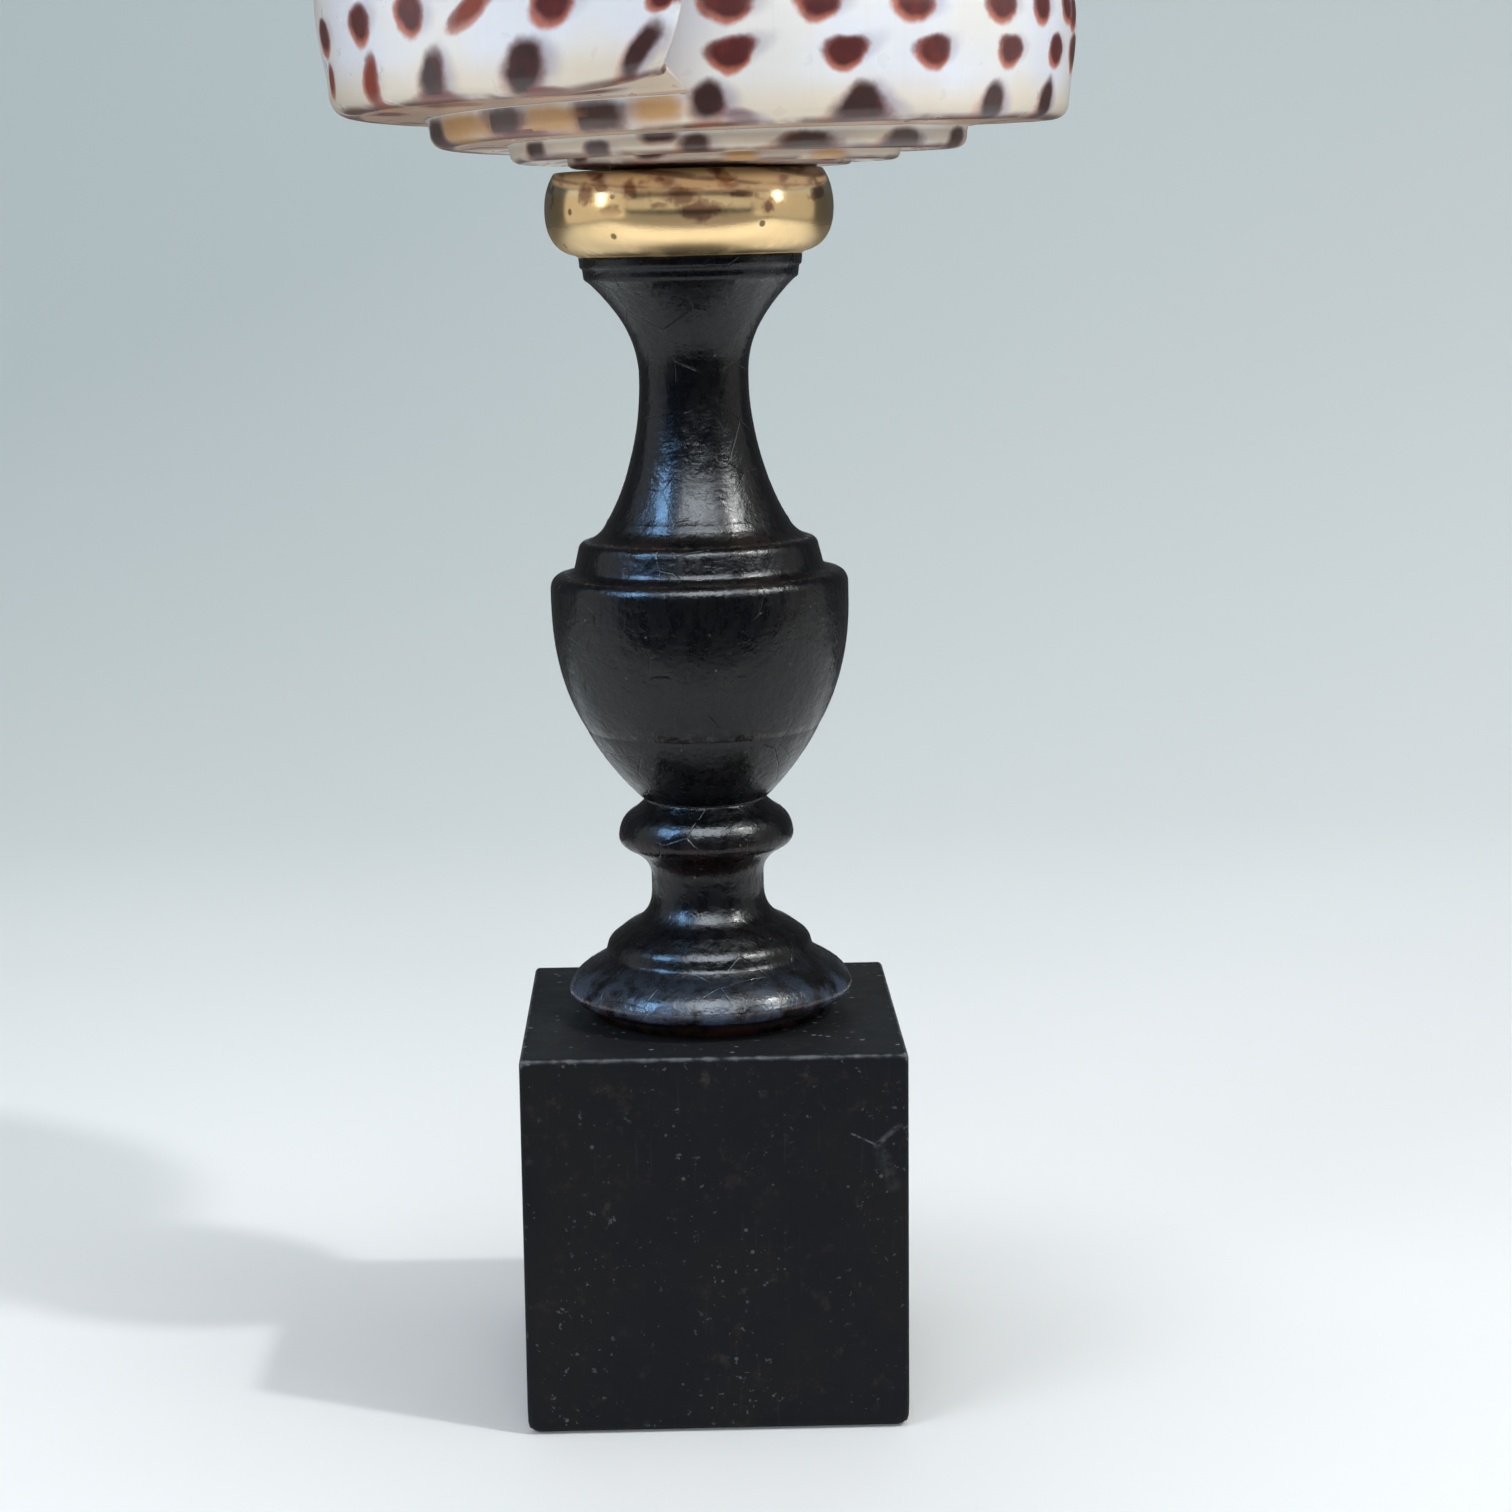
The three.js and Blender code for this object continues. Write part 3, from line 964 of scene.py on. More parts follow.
@dataclass(frozen=True)
class BrassFinish:
    """Polished pale brass with a little toning, fine turning scratches and a few dark spots, painted
    reflections of the shell's marks on its front and a painted shade strip under the shell.

    Spans called heights are in millimetres, from where a share is 0 to where it is 1.
    """

    gold: Colour = srgb(250, 217, 163)
    toned: Colour = srgb(240, 200, 140)
    tarnish: Colour = srgb(92, 78, 48)
    stain: Colour = srgb(156, 116, 90)
    pale: Colour = srgb(255, 240, 200)
    cloud: Grain = Grain(size=4, detail=4, roughness=0.6)
    toned_span: Span = (0.45, 0.75)
    toned_share: float = 0.35
    worn: Patches = Patches(size=2.5, start=0.3, full=0.6, detail=4)
    specks: Scatter = Scatter(spacing=3.4, start=0.13, full=0.07)
    speck_share: float = 0.75
    pale_heights: Span = (127.2, 128.0)
    pale_share: float = 0.85
    stain_heights: Span = (125.2, 126.6)
    stains: Patches = Patches(size=2.9, start=0.56, full=0.66, detail=2, stretch=(1, 1, 1.4))
    stain_share: float = 0.8
    shade_heights: Span = (128.9, 129.9)
    shade_share: float = 0.8
    satin_heights: Span = (125.6, 123.6)
    waves: Relief = Relief(size=3.5, depth=0.022, detail=2)
    turning: Relief = Relief(size=0.35, depth=0.0012, detail=2, stretch=(0.02, 0.02, 1.0))
    scratches: Grain = Grain(size=0.5, detail=4, stretch=(0.25, 0.25, 2.2))
    ragged: Grain = Grain(size=1.3, roughness=0.6)
    ragged_reach: float = 1.7
    blot_edge: Span = (1.35, 0.50)
    blots: tuple[ReflectedSpot, ...] = (
        ReflectedSpot(-0.1, 125.9, 2.5, 0.95, 0.95), ReflectedSpot(-2.0, 127.2, 1.5, 1.00, 0.9),
        ReflectedSpot(-7.2, 128.0, 0.7, 0.95, 0.9), ReflectedSpot(-11.5, 127.7, 0.8, 1.10, 0.9),
        ReflectedSpot(6.8, 126.2, 0.65, 0.65, 1.0), ReflectedSpot(4.2, 127.5, 1.2, 0.35, 0.8),
    )

    def blotted(self, paint: Paint) -> Wire:
        """Lays the painted reflections of the shell's marks, as brown blots on the ring's front.

        Args:
            paint: The material.

        Returns:
            The share of painted reflection, from 0 to 1.
        """
        ragged = (paint.noise(self.ragged) - 0.5) * self.ragged_reach
        total = paint.deep * 0.0
        for reflected in self.blots:
            aside = (paint.across - reflected.across * MM) / (reflected.half_width * MM)
            above = (paint.height - reflected.height * MM) / (reflected.half_height * MM)
            away = (aside.squared() + above.squared()) ** 0.5
            total = total.least((away + ragged).rise(*self.blot_edge) * reflected.strength)
        return total * paint.deep.rise(0.0, -MM)

    def material(self) -> bpy.types.Material:
        """Builds the finish.

        Returns:
            The material.
        """
        paint = Paint("polished_brass", self.gold)
        cloud, wear = paint.noise(self.cloud), paint.number("wear")
        specks = paint.scatter(self.specks)
        paint.lay(self.toned, cloud.rise(*self.toned_span) * self.toned_share)
        paint.lay(self.tarnish, wear * paint.patches(self.worn))
        paint.lay(self.tarnish, specks * self.speck_share)
        paint.lay(self.pale, paint.level(self.pale_heights) * self.pale_share)
        # Painted reflections: brown patches and blots where the shell's marks would be mirrored in the
        # ring.
        stains = paint.patches(self.stains) * paint.level(self.stain_heights) * self.stain_share
        paint.lay(self.stain, stains.least(self.blotted(paint)))
        # Painted shade: a dark strip along the top of the ring, under the shell.
        paint.lay(self.tarnish, paint.level(self.shade_heights) * self.shade_share)
        paint.carve(self.waves, self.turning)
        rough = paint.noise(self.scratches) * 0.08 + cloud * 0.05 + specks * 0.25 + wear * 0.18
        rough = rough + paint.level(self.satin_heights) * 0.15 + 0.10
        return paint.shine(Metallic=1.0, Roughness=rough)


@dataclass(frozen=True)
class StemFinish:
    """Black paint brushed on turned wood, lumpy, pitted and rubbed along its edges, with a painted bluish
    sheen on the foot's flare.
    """

    black: Colour = srgb(2, 2, 5)
    brown_black: Colour = srgb(6, 5, 4)
    rubbed: Colour = srgb(120, 112, 104)
    wood: Colour = srgb(58, 36, 30)
    bloom: Colour = srgb(92, 108, 132)
    cloud: Patches = Patches(size=7, start=0.4, full=0.7, detail=4, roughness=0.6)
    grit: Grain = Grain(size=0.8, detail=4, roughness=0.7)
    grit_reach: float = 1.3
    rub_span: Span = (0.35, 0.75)
    rub_share: float = 0.4
    bare: Patches = Patches(size=3, start=0.3, full=0.6, detail=4)
    bare_share: float = 0.4
    bloom_heights: Span = (41.4, 42.6)
    bloom_fading: Span = (48.0, 42.6)
    bloom_breaks: Patches = Patches(size=3.2, start=0.36, full=0.62, detail=4, roughness=0.6)
    bloom_share: float = 0.42
    specks: Scatter = Scatter(spacing=2.1, start=0.085, full=0.05)
    speck_groups: Patches = Patches(size=9, start=0.48, full=0.56, detail=1)
    speck_share: float = 0.35
    lumps: Relief = Relief(size=2.4, depth=0.17, roughness=0.55)
    pits: Relief = Relief(size=0.75, depth=0.065, roughness=0.6, stretch=(1, 1, 1.3))
    rings: Relief = Relief(size=0.5, depth=0.012, detail=2, stretch=(0.05, 0.05, 1.0))
    strokes: Relief = Relief(size=0.8, depth=0.050, roughness=0.6, stretch=(1, 1, 0.22))
    cracks: Scatter = Scatter(spacing=5.5, start=0.0, full=0.02, kind=Cells.CRACKS)
    crack_groups: Patches = Patches(size=6, start=0.5, full=0.62, detail=2)
    crack_depth: float = 0.05
    gloss: Patches = Patches(size=1.5, start=0.38, full=0.64, detail=5, roughness=0.7,
                             stretch=(1, 1, 0.45))
    gloss_share: float = -0.11
    roughness: float = 0.34

    def material(self) -> bpy.types.Material:
        """Builds the finish.

        Returns:
            The material.
        """
        paint = Paint("stem_paint", self.black)
        paint.lay(self.brown_black, paint.patches(self.cloud))
        rub = (paint.number("wear") * (paint.noise(self.grit) * self.grit_reach)).rise(*self.rub_span)
        paint.lay(self.rubbed, rub * self.rub_share)
        brown = paint.number("undercut") * paint.patches(self.bare)
        paint.lay(self.wood, brown * self.bare_share)
        # Painted sheen: a broken bluish-grey sheen on the foot's flare, standing in for the reflection of
        # the sky above.
        dust = paint.level(self.bloom_heights) * paint.level(self.bloom_fading)
        dust = dust * paint.patches(self.bloom_breaks)
        paint.lay(self.bloom, dust * self.bloom_share)
        specks = paint.scatter(self.specks) * paint.patches(self.speck_groups)
        paint.lay(self.rubbed, specks * self.speck_share)
        paint.carve(self.lumps, self.pits, self.rings)
        broken = 1 - (1 - paint.scatter(self.cracks)) * paint.patches(self.crack_groups)
        paint.bump(broken, self.crack_depth)
        paint.carve(self.strokes)
        rough = paint.patches(self.gloss) * self.gloss_share + self.roughness
        return paint.shine(Roughness=rough, IOR=1.37, Coat_Weight=0.12, Coat_Roughness=0.16)


@dataclass(frozen=True)
class Scratch:
    """A scratch on the cube's front: its two ends, half width and strength, in millimetres."""

    start: tuple[float, float]
    end: tuple[float, float]
    half_width: float
    strength: float

    def on(self, paint: Paint) -> Wire:
        """Draws the scratch.

        Args:
            paint: The material.

        Returns:
            The share of dust that it shows at each place.
        """
        (x, z), (end_x, end_z) = self.start, self.end
        run, climb = end_x - x, end_z - z
        east, north = paint.across / MM - x, paint.height / MM - z
        along = ((east * run + north * climb) / (run * run + climb * climb)).least(0.0).most(1.0)
        far = ((east - along * run).squared() + (north - along * climb).squared()) ** 0.5
        return far.rise(self.half_width, 0.0) * self.strength


@dataclass(frozen=True)
class PlinthFinish:
    """Flat black paint over wood, with dust, fine scratches and greyed edges."""

    black: Colour = srgb(19, 19, 20)
    blue_black: Colour = srgb(15, 16, 20)
    brown: Colour = srgb(44, 35, 30)
    dust: Colour = srgb(130, 136, 140)
    grime: Colour = srgb(78, 70, 62)
    cloud: Patches = Patches(size=11, start=0.4, full=0.62, detail=4, roughness=0.6)
    brown_spots: Patches = Patches(size=2.6, start=0.56, full=0.72, detail=4, roughness=0.7)
    dots: Scatter = Scatter(spacing=2.6, start=0.10, full=0.055)
    dot_groups: Patches = Patches(size=7, start=0.47, full=0.55, detail=2)
    fine_dots: Scatter = Scatter(spacing=1.1, start=0.11, full=0.06)
    fine_dot_groups: Patches = Patches(size=5, start=0.55, full=0.62, detail=2)
    smudges: Patches = Patches(size=1.7, start=0.60, full=0.78, detail=4, roughness=0.6)
    smudge_groups: Patches = Patches(size=9, start=0.4, full=0.6, detail=2)
    top_heights: Span = (39.9, 40.3)
    front: Span = (-19.6, -19.8)
    ragged: Patches = Patches(size=0.7, start=0.3, full=0.6, roughness=0.6)
    lint: Scatter = Scatter(spacing=1.5, start=0.16, full=0.08, stretch=(0.7, 1, 1))
    lint_groups: Patches = Patches(size=5, start=0.44, full=0.54, detail=2)
    hairs: Patches = Patches(size=0.5, start=0.60, full=0.72, stretch=(1.0, 1.0, 0.06))
    hair_groups: Patches = Patches(size=8, start=0.45, full=0.6, detail=1)
    flecks: Patches = Patches(size=0.7, start=0.66, full=0.72, detail=2, roughness=0.6)
    fleck_groups: Patches = Patches(size=6, start=0.42, full=0.6, detail=2)
    edge_grit: Grain = Grain(size=1.4, detail=4)
    edge_span: Span = (0.35, 0.85)
    waves: Relief = Relief(size=3.5, depth=0.10)
    grain: Relief = Relief(size=0.5, depth=0.02, roughness=0.6)
    gloss: Grain = Grain(size=4, detail=4, roughness=0.6)
    scratches: tuple[Scratch, ...] = (
        Scratch((14.1, 32.1), (16.6, 30.9), half_width=0.16, strength=0.45),
        Scratch((16.6, 30.9), (19.0, 32.9), half_width=0.45, strength=0.20),
        Scratch((17.0, 30.6), (18.4, 26.5), half_width=1.1, strength=0.06),
    )

    def material(self) -> bpy.types.Material:
        """Builds the finish.

        Returns:
            The material.
        """
        paint = Paint("plinth_paint", self.blue_black)
        paint.lay(self.black, paint.patches(self.cloud))
        paint.lay(self.brown, paint.patches(self.brown_spots) * 0.5)
        dots = paint.scatter(self.dots) * paint.patches(self.dot_groups)
        fine = paint.scatter(self.fine_dots) * paint.patches(self.fine_dot_groups)
        paint.lay(self.dust, dots * 0.22 + fine * 0.10)
        smudges = paint.patches(self.smudges) * paint.patches(self.smudge_groups)
        paint.lay(self.grime, smudges * 0.28)
        ragged = paint.patches(self.ragged) * paint.deep.rise(self.front[0] * MM, self.front[1] * MM)
        for scratch in self.scratches:
            paint.lay(self.dust, scratch.on(paint) * ragged)
        top = paint.level(self.top_heights)
        lint = paint.scatter(self.lint) * paint.patches(self.lint_groups)
        paint.lay(self.dust, lint * top * 0.8)
        paint.lay(self.dust, top * 0.03)
        hairs = paint.patches(self.hairs) * paint.patches(self.hair_groups)
        flecks = paint.patches(self.flecks) * paint.patches(self.fleck_groups)
        paint.lay(self.dust, hairs * 0.02 + flecks * 0.20)
        rub = (paint.number("wear") * (paint.noise(self.edge_grit) * 1.5)).rise(*self.edge_span)
        paint.lay(self.dust, rub * 0.42)
        paint.carve(self.waves, self.grain)
        return paint.shine(Roughness=paint.noise(self.gloss) * 0.2 + 0.52, IOR=1.25)


@dataclass(frozen=True)
class StudioFinish:
    """Plain pale paper for the floor and backdrop, darker towards the back and the left as painted shade.
    """

    floor: Colour = srgb(240, 243, 244)
    wall: Colour = srgb(187, 198, 199)
    near: float = 20.0
    far: float = 660.0
    slant: float = 0.52
    mottle: Grain = Grain(size=40)
    mottle_share: float = 0.03
    tooth: Relief = Relief(size=0.6, depth=0.01, detail=2)

    def material(self) -> bpy.types.Material:
        """Builds the finish.

        Returns:
            The material.
        """
        paint = Paint("pale_paper", self.floor)
        # Painted shade: the paper darkens towards the back and the left, where less light falls.
        share = (paint.deep - paint.across * self.slant).rise(self.near * MM, self.far * MM, False)
        paint.lay(self.wall, share)
        paint.lay(self.wall, paint.noise(self.mottle) * self.mottle_share)
        paint.carve(self.tooth)
        return paint.shine(Roughness=0.75)


# The shell


@dataclass(frozen=True)
class MarkLook:
    """How one kind of mark is coloured and shaped."""

    core: Colour
    square: float = 0.0
    soft: float = 0.5
    fringe: float = 0.6
    smear: float = 0.4
    strength: float = 1.0


LOOKS: dict[MarkKind, MarkLook] = {
    MarkKind.SPOT: MarkLook(core=srgb(90, 44, 43), fringe=0.85, smear=0.5, soft=0.5),
    MarkKind.BLOTCH: MarkLook(core=srgb(64, 44, 41), fringe=0.35, smear=0.7, square=0.25, soft=0.6),
    MarkKind.STREAK: MarkLook(core=srgb(138, 62, 44), fringe=0.7, smear=0.25, soft=0.8),
    MarkKind.BLOCK: MarkLook(core=srgb(84, 66, 58), fringe=0.4, smear=0.3, square=0.65, soft=0.7),
    MarkKind.TAN: MarkLook(core=srgb(210, 162, 104), fringe=0.1, smear=0.0, square=0.6, soft=0.9,
                           strength=0.9),
    MarkKind.FLAME: MarkLook(core=srgb(124, 66, 54), fringe=0.3, smear=0.2, square=0.3, soft=0.7,
                             strength=0.85),
    MarkKind.SHADE: MarkLook(core=srgb(134, 106, 110), fringe=0.1, smear=0.5, soft=1.3, strength=0.8),
}


@dataclass(frozen=True)
class Mark:
    """One mark on the shell.

    Its place is a turn of the coil and a height above the shoulder; below 0 it lies on the
    ramp. Its half length, half height and place are in millimetres, its tilt in degrees.
    """

    turn: float
    rise: float
    half_length: float
    half_height: float
    tilt: float = 0.0
    wide_top: float = 0.0
    kind: MarkKind = MarkKind.SPOT


@dataclass(frozen=True)
class MarkRule:
    """The spans that the half sizes, tilt and shape of a row's marks are drawn from."""

    half_length: Span
    half_height: Span
    tilt: Span
    wide_top: Span

    def draw(self, chance: random.Random, turn: float, rise: float, kind: MarkKind,
             scale: float = 1.0) -> Mark:
        """Draws one mark.

        Args:
            chance: The seeded chance.
            turn: Its turn.
            rise: Its height above the shoulder.
            kind: Its kind.
            scale: What its half sizes are multiplied by.

        Returns:
            The mark.
        """
        return Mark(turn, rise, chance.uniform(*self.half_length) * scale,
                    chance.uniform(*self.half_height) * scale, chance.uniform(*self.tilt),
                    chance.uniform(*self.wide_top), kind)


BLOTCHES = MarkRule((1.3, 2.4), (1.8, 2.2), (-5, 22), (-0.5, -0.1))
SPOTS = MarkRule((1.5, 2.3), (1.25, 1.75), (-18, 18), (-0.1, 0.35))


def seen(kind: MarkKind, *marks: tuple[float, ...]) -> list[Mark]:
    """Marks of one kind, each given by a mark's numbers in their order."""
    return [Mark(*numbers, kind=kind) for numbers in marks]


SEEN_MARKS: tuple[Mark, ...] = (
    *seen(MarkKind.SPOT,
          (-0.982, 11.2, 2.1, 1.6, 0, 0.2), (-0.942, 11.0, 1.8, 1.5, 0, 0.1),
          (-0.898, 10.9, 2.1, 1.5, 10, 0.1), (-0.847, 10.8, 1.9, 1.5), (-0.814, 10.9, 1.5, 1.5),
          (-0.782, 11.1, 1.7, 1.5), (-0.981, 6.6, 2.1, 1.4, -10, 0.35),
          (-0.930, 6.4, 1.9, 1.4, -8, 0.3), (-0.887, 6.3, 1.7, 1.4, -5, 0.25),
          (-0.840, 6.4, 1.6, 1.4, 0, 0.2), (-0.797, 6.6, 1.6, 1.4), (-0.182, 7.5, 2.3, 1.6),
          (-0.139, 7.9, 2.0, 1.7, -10), (-0.105, 8.2, 1.8, 1.8, 8),
          (-0.043, 8.2, 1.8, 1.8, 0, -0.2), (-0.004, 6.9, 1.2, 1.1)),
    *seen(MarkKind.BLOTCH,
          (-0.992, 2.4, 1.7, 1.9, 0, -0.15), (-0.921, 1.7, 2.5, 2.0, 0, -0.5),
          (-0.849, 1.6, 1.7, 2.1, 20, -0.3), (-0.803, 1.8, 1.6, 2.1, 20, -0.2),
          (-0.008, 2.3, 1.35, 2.6, 28, 0.15), (-0.0525, 2.6, 2.3, 2.5, -5, -0.1),
          (-0.0955, 2.4, 1.9, 2.5, 4, -0.25)),
    *seen(MarkKind.STREAK,
          (-0.136, 2.4, 1.5, 2.5, 14), (-0.184, 3.4, 1.6, 1.4, -20), (-0.076, 8.1, 2.7, 1.0, -30)),
    *seen(MarkKind.FLAME,
          (-0.043, 0.1, 3.2, 0.6, 8), (-0.096, 0.2, 3.4, 0.9), (-0.045, -4.0, 5.5, 1.6, 6),
          (-0.120, -4.6, 4.6, 1.8, 8), (-0.195, -3.6, 4.0, 1.8, 8), (-0.955, -1.9, 3.4, 1.1, 10),
          (-0.858, -1.8, 3.6, 1.0, 10), (-0.790, -1.4, 3.0, 0.9, 10), (-1.092, 0.2, 3.4, 0.6)),
    *seen(MarkKind.TAN,
          (-1.144, 1.4, 5.75, 1.55), (-1.075, 1.5, 3.88, 1.55), (-1.017, 2.0, 2.62, 1.55),
          (-0.085, -2.2, 4.0, 1.2, 5), (-0.160, -2.4, 4.4, 1.5, 5), (-2.970, 0.4, 1.84, 0.65),
          (-2.883, 0.4, 2.30, 0.65)),
    *seen(MarkKind.BLOCK,
          (-1.105, 1.6, 3.25, 1.55), (-1.046, 1.4, 3.00, 1.55), (-1.184, 1.1, 3.75, 1.55),
          (-2.029, 1.8, 1.84, 0.78), (-2.142, 0.9, 1.95, 1.04), (-2.076, 0.6, 1.61, 0.91),
          (-2.004, 0.7, 1.61, 1.04), (-1.930, 0.7, 3.33, 1.04, 0, -0.2),
          (-1.854, 0.7, 2.99, 1.17, 0, -0.2), (-1.784, 0.9, 2.53, 1.17)),
    *seen(MarkKind.SHADE,
          (-0.978, 0.8, 1.9, 0.7, 12)),
)


@dataclass
class Coil:
    """The growth law: how the shell's outline widens, drops and turns."""

    coil_offset: float = 3.5
    last_whorl_shift: float = 1.15
    shift_from: float = -1.0
    shift_full: float = -0.75
    lip_azimuth: float = math.radians(-95.7)
    lip_radius: float = 45.2
    growth: float = 1.37
    tip_growth: float = 2.1
    spire_height: float = 129.8
    spire_rise: float = 6.5
    spire_spread: float = 1.12
    lip_lift: float = 1.5
    lip_lift_span: float = 0.06
    wall_height: float = 4.5
    wall_growth: float = 1.3
    wall_ratio: float = 0.979
    corner_ratio: float = 0.97
    corner_spread: float = 0.055
    corner_height_ratio: float = 0.5
    anterior_height: float = 256.0
    tip_ratio: float = 0.2
    side_bow: float = 1.3
    bulge_at: float = 0.062
    ramp_hollow: float = 0.35
    lip_notch: float = 0.013
    lip_notch_height: float = 17.0
    lip_retreat: float = 0.02
    lip_retreat_from: float = 0.5
    lip_blend: float = 0.25
    lip_thickness: float = 1.5
    inner_thickness: float = 2.6
    unevenness: float = 0.16


class CoilTree(GeometryGraph):
    """The Geometry Nodes tree that lays a sheet on the growth law."""

    RIPPLE_TURNS = 9
    RIPPLE_RISE = 0.05
    RIPPLE_SEED = 3.7
    THICKENING = 6

    def __init__(self, coil: Coil, lean: Lean, material: bpy.types.Material) -> None:
        """Builds the tree, with the growth law's sizes as its named inputs.

        Args:
            coil: The growth law.
            lean: The stand's lean.
            material: The shell's finish.
        """
        super().__init__("coil_growth")
        self.sizes = {name.replace("_", " ").capitalize(): size for name, size in vars(coil).items()}
        self.s = SimpleNamespace(**{name: self.size(title, self.sizes[title])
                                    for name, title in zip(vars(coil), self.sizes)})
        self.turn, self.along = self.attribute("turn"), self.attribute("along")
        ramp, bend = self.attribute("ramp"), self.attribute("bend")
        climb, side = self.attribute("climb"), self.attribute("side")
        s, turn, along = self.s, self.turn, self.along
        low, wall_z = self.shoulder_height(turn), self.wall_top(turn)
        size = s.lip_radius * s.growth ** turn
        corner = size * s.corner_ratio
        wall_r = size * s.wall_ratio
        start = corner - size * s.corner_spread
        end_r = blend(corner, wall_r, s.corner_height_ratio)
        end_z = blend(low, wall_z, s.corner_height_ratio)
        back = 1 - bend
        round_r = back.squared() * start + 2 * back * bend * corner + bend.squared() * end_r
        round_z = back.squared() * low + 2 * back * bend * low + bend.squared() * end_z
        side_r = self.side_radius()
        side_z = blend(wall_z, s.anterior_height, along)
        radius = blend(blend(round_r, wall_r, climb), side_r, side)
        height = blend(blend(round_z, wall_z, climb), side_z, side)
        rise = height - low
        suture_r = s.lip_radius * s.wall_ratio * s.growth ** (turn - 1)
        self.store("rise", rise - (1 - ramp) * (start - suture_r))
        radius, height = self.inset(radius, height)
        angle = self.angle(rise, radius)
        late = (turn - s.shift_from) / (s.shift_full - s.shift_from)
        shift = s.last_whorl_shift * self.ease(late)
        x = shift + radius * angle.cosine()
        y = radius * angle.sine()
        earlier = turn - 1
        suture_angle = s.lip_azimuth + TAU * earlier
        x = blend(suture_r * suture_angle.cosine(), x, ramp) + s.coil_offset
        y = blend(suture_r * suture_angle.sine(), y, ramp)
        hollow = s.ramp_hollow * (4 * ramp * (1 - ramp)) * (s.growth ** turn)
        z = blend(self.wall_top(earlier), height, ramp) + hollow
        x, z = lean.tilt(x, z)
        self.place(x, y, z)
        self.finish(material)

    @staticmethod
    def ease(share: Wire) -> Wire:
        """Eases a share between 0 and 1."""
        held = share.least(0.0).most(1.0)
        return held.squared() * (3 - 2 * held)

    def shoulder_height(self, turn: Wire) -> Wire:
        """Height of a whorl's shoulder, with the lift at the lip."""
        lift = self.s.lip_lift * (turn / self.s.lip_lift_span + 1).least(0.0).squared()
        return self.s.spire_rise / ((turn / self.s.spire_spread).squared() + 1) + self.s.spire_height + lift

    def wall_top(self, turn: Wire) -> Wire:
        """Height where the next whorl is laid on this one's wall."""
        wall = self.s.wall_height * self.s.growth ** (self.s.wall_growth * turn)
        return self.shoulder_height(turn) + wall

    def side_radius(self) -> Wire:
        """Radius of the long side, which opens faster towards the narrow end.

        Returns:
            The radius.
        """
        s, along = self.s, self.along
        swell = (along / s.bulge_at).most(1.0) * (math.pi / 2)
        run = ((along - s.bulge_at).least(0.0) / (1 - s.bulge_at)) ** s.side_bow
        share = s.wall_ratio + (1 - s.wall_ratio) * swell.sine() - (1 - s.tip_ratio) * run
        opening = s.growth + (s.tip_growth - s.growth) * along.squared()
        return s.lip_radius * share * opening ** self.turn

    def inset(self, radius: Wire, height: Wire) -> tuple[Wire, Wire]:
        """Moves the inner surface in from the outer one, and rounds the narrow end.

        Args:
            radius: The outer surface's radius.
            height: The outer surface's height.

        Returns:
            The moved radius and height.
        """
        s, facing = self.s, self.attribute("facing") * (math.pi / 2)
        deep = (self.turn * -self.THICKENING).least(0.0).most(1.0)
        thick = blend(s.lip_thickness, s.inner_thickness, deep)
        depth = self.attribute("inset") * thick
        place = join(self.tree, self.turn * self.RIPPLE_TURNS, height * self.RIPPLE_RISE, 0.0)
        uneven = self.noise(place, 1.0, self.RIPPLE_SEED) - 0.5
        ripple = uneven * s.unevenness * self.attribute("open")
        moved = radius - depth * facing.sine() - self.attribute("tuck") + ripple
        return moved, height + depth * facing.cosine() + self.attribute("cap")

    def angle(self, rise: Wire, radius: Wire) -> Wire:
        """Azimuth of a place on the coil, with the lip's edge drawn back and rounded.

        Args:
            rise: The height above the shoulder.
            radius: The place's radius.

        Returns:
            The azimuth.
        """
        s, start = self.s, self.s.lip_retreat_from
        notch = s.lip_notch * (1 - rise / s.lip_notch_height).least(0.0).squared()
        late = ((self.along - start) / (1 - start)).least(0.0)
        offset = (notch + s.lip_retreat * late.squared()) * -1
        fade = (self.turn / s.lip_blend + 1).least(0.0).squared()
        bead = self.attribute("rim") * s.lip_thickness * 0.5 / radius
        return s.lip_azimuth + TAU * (self.turn + offset * fade) + bead


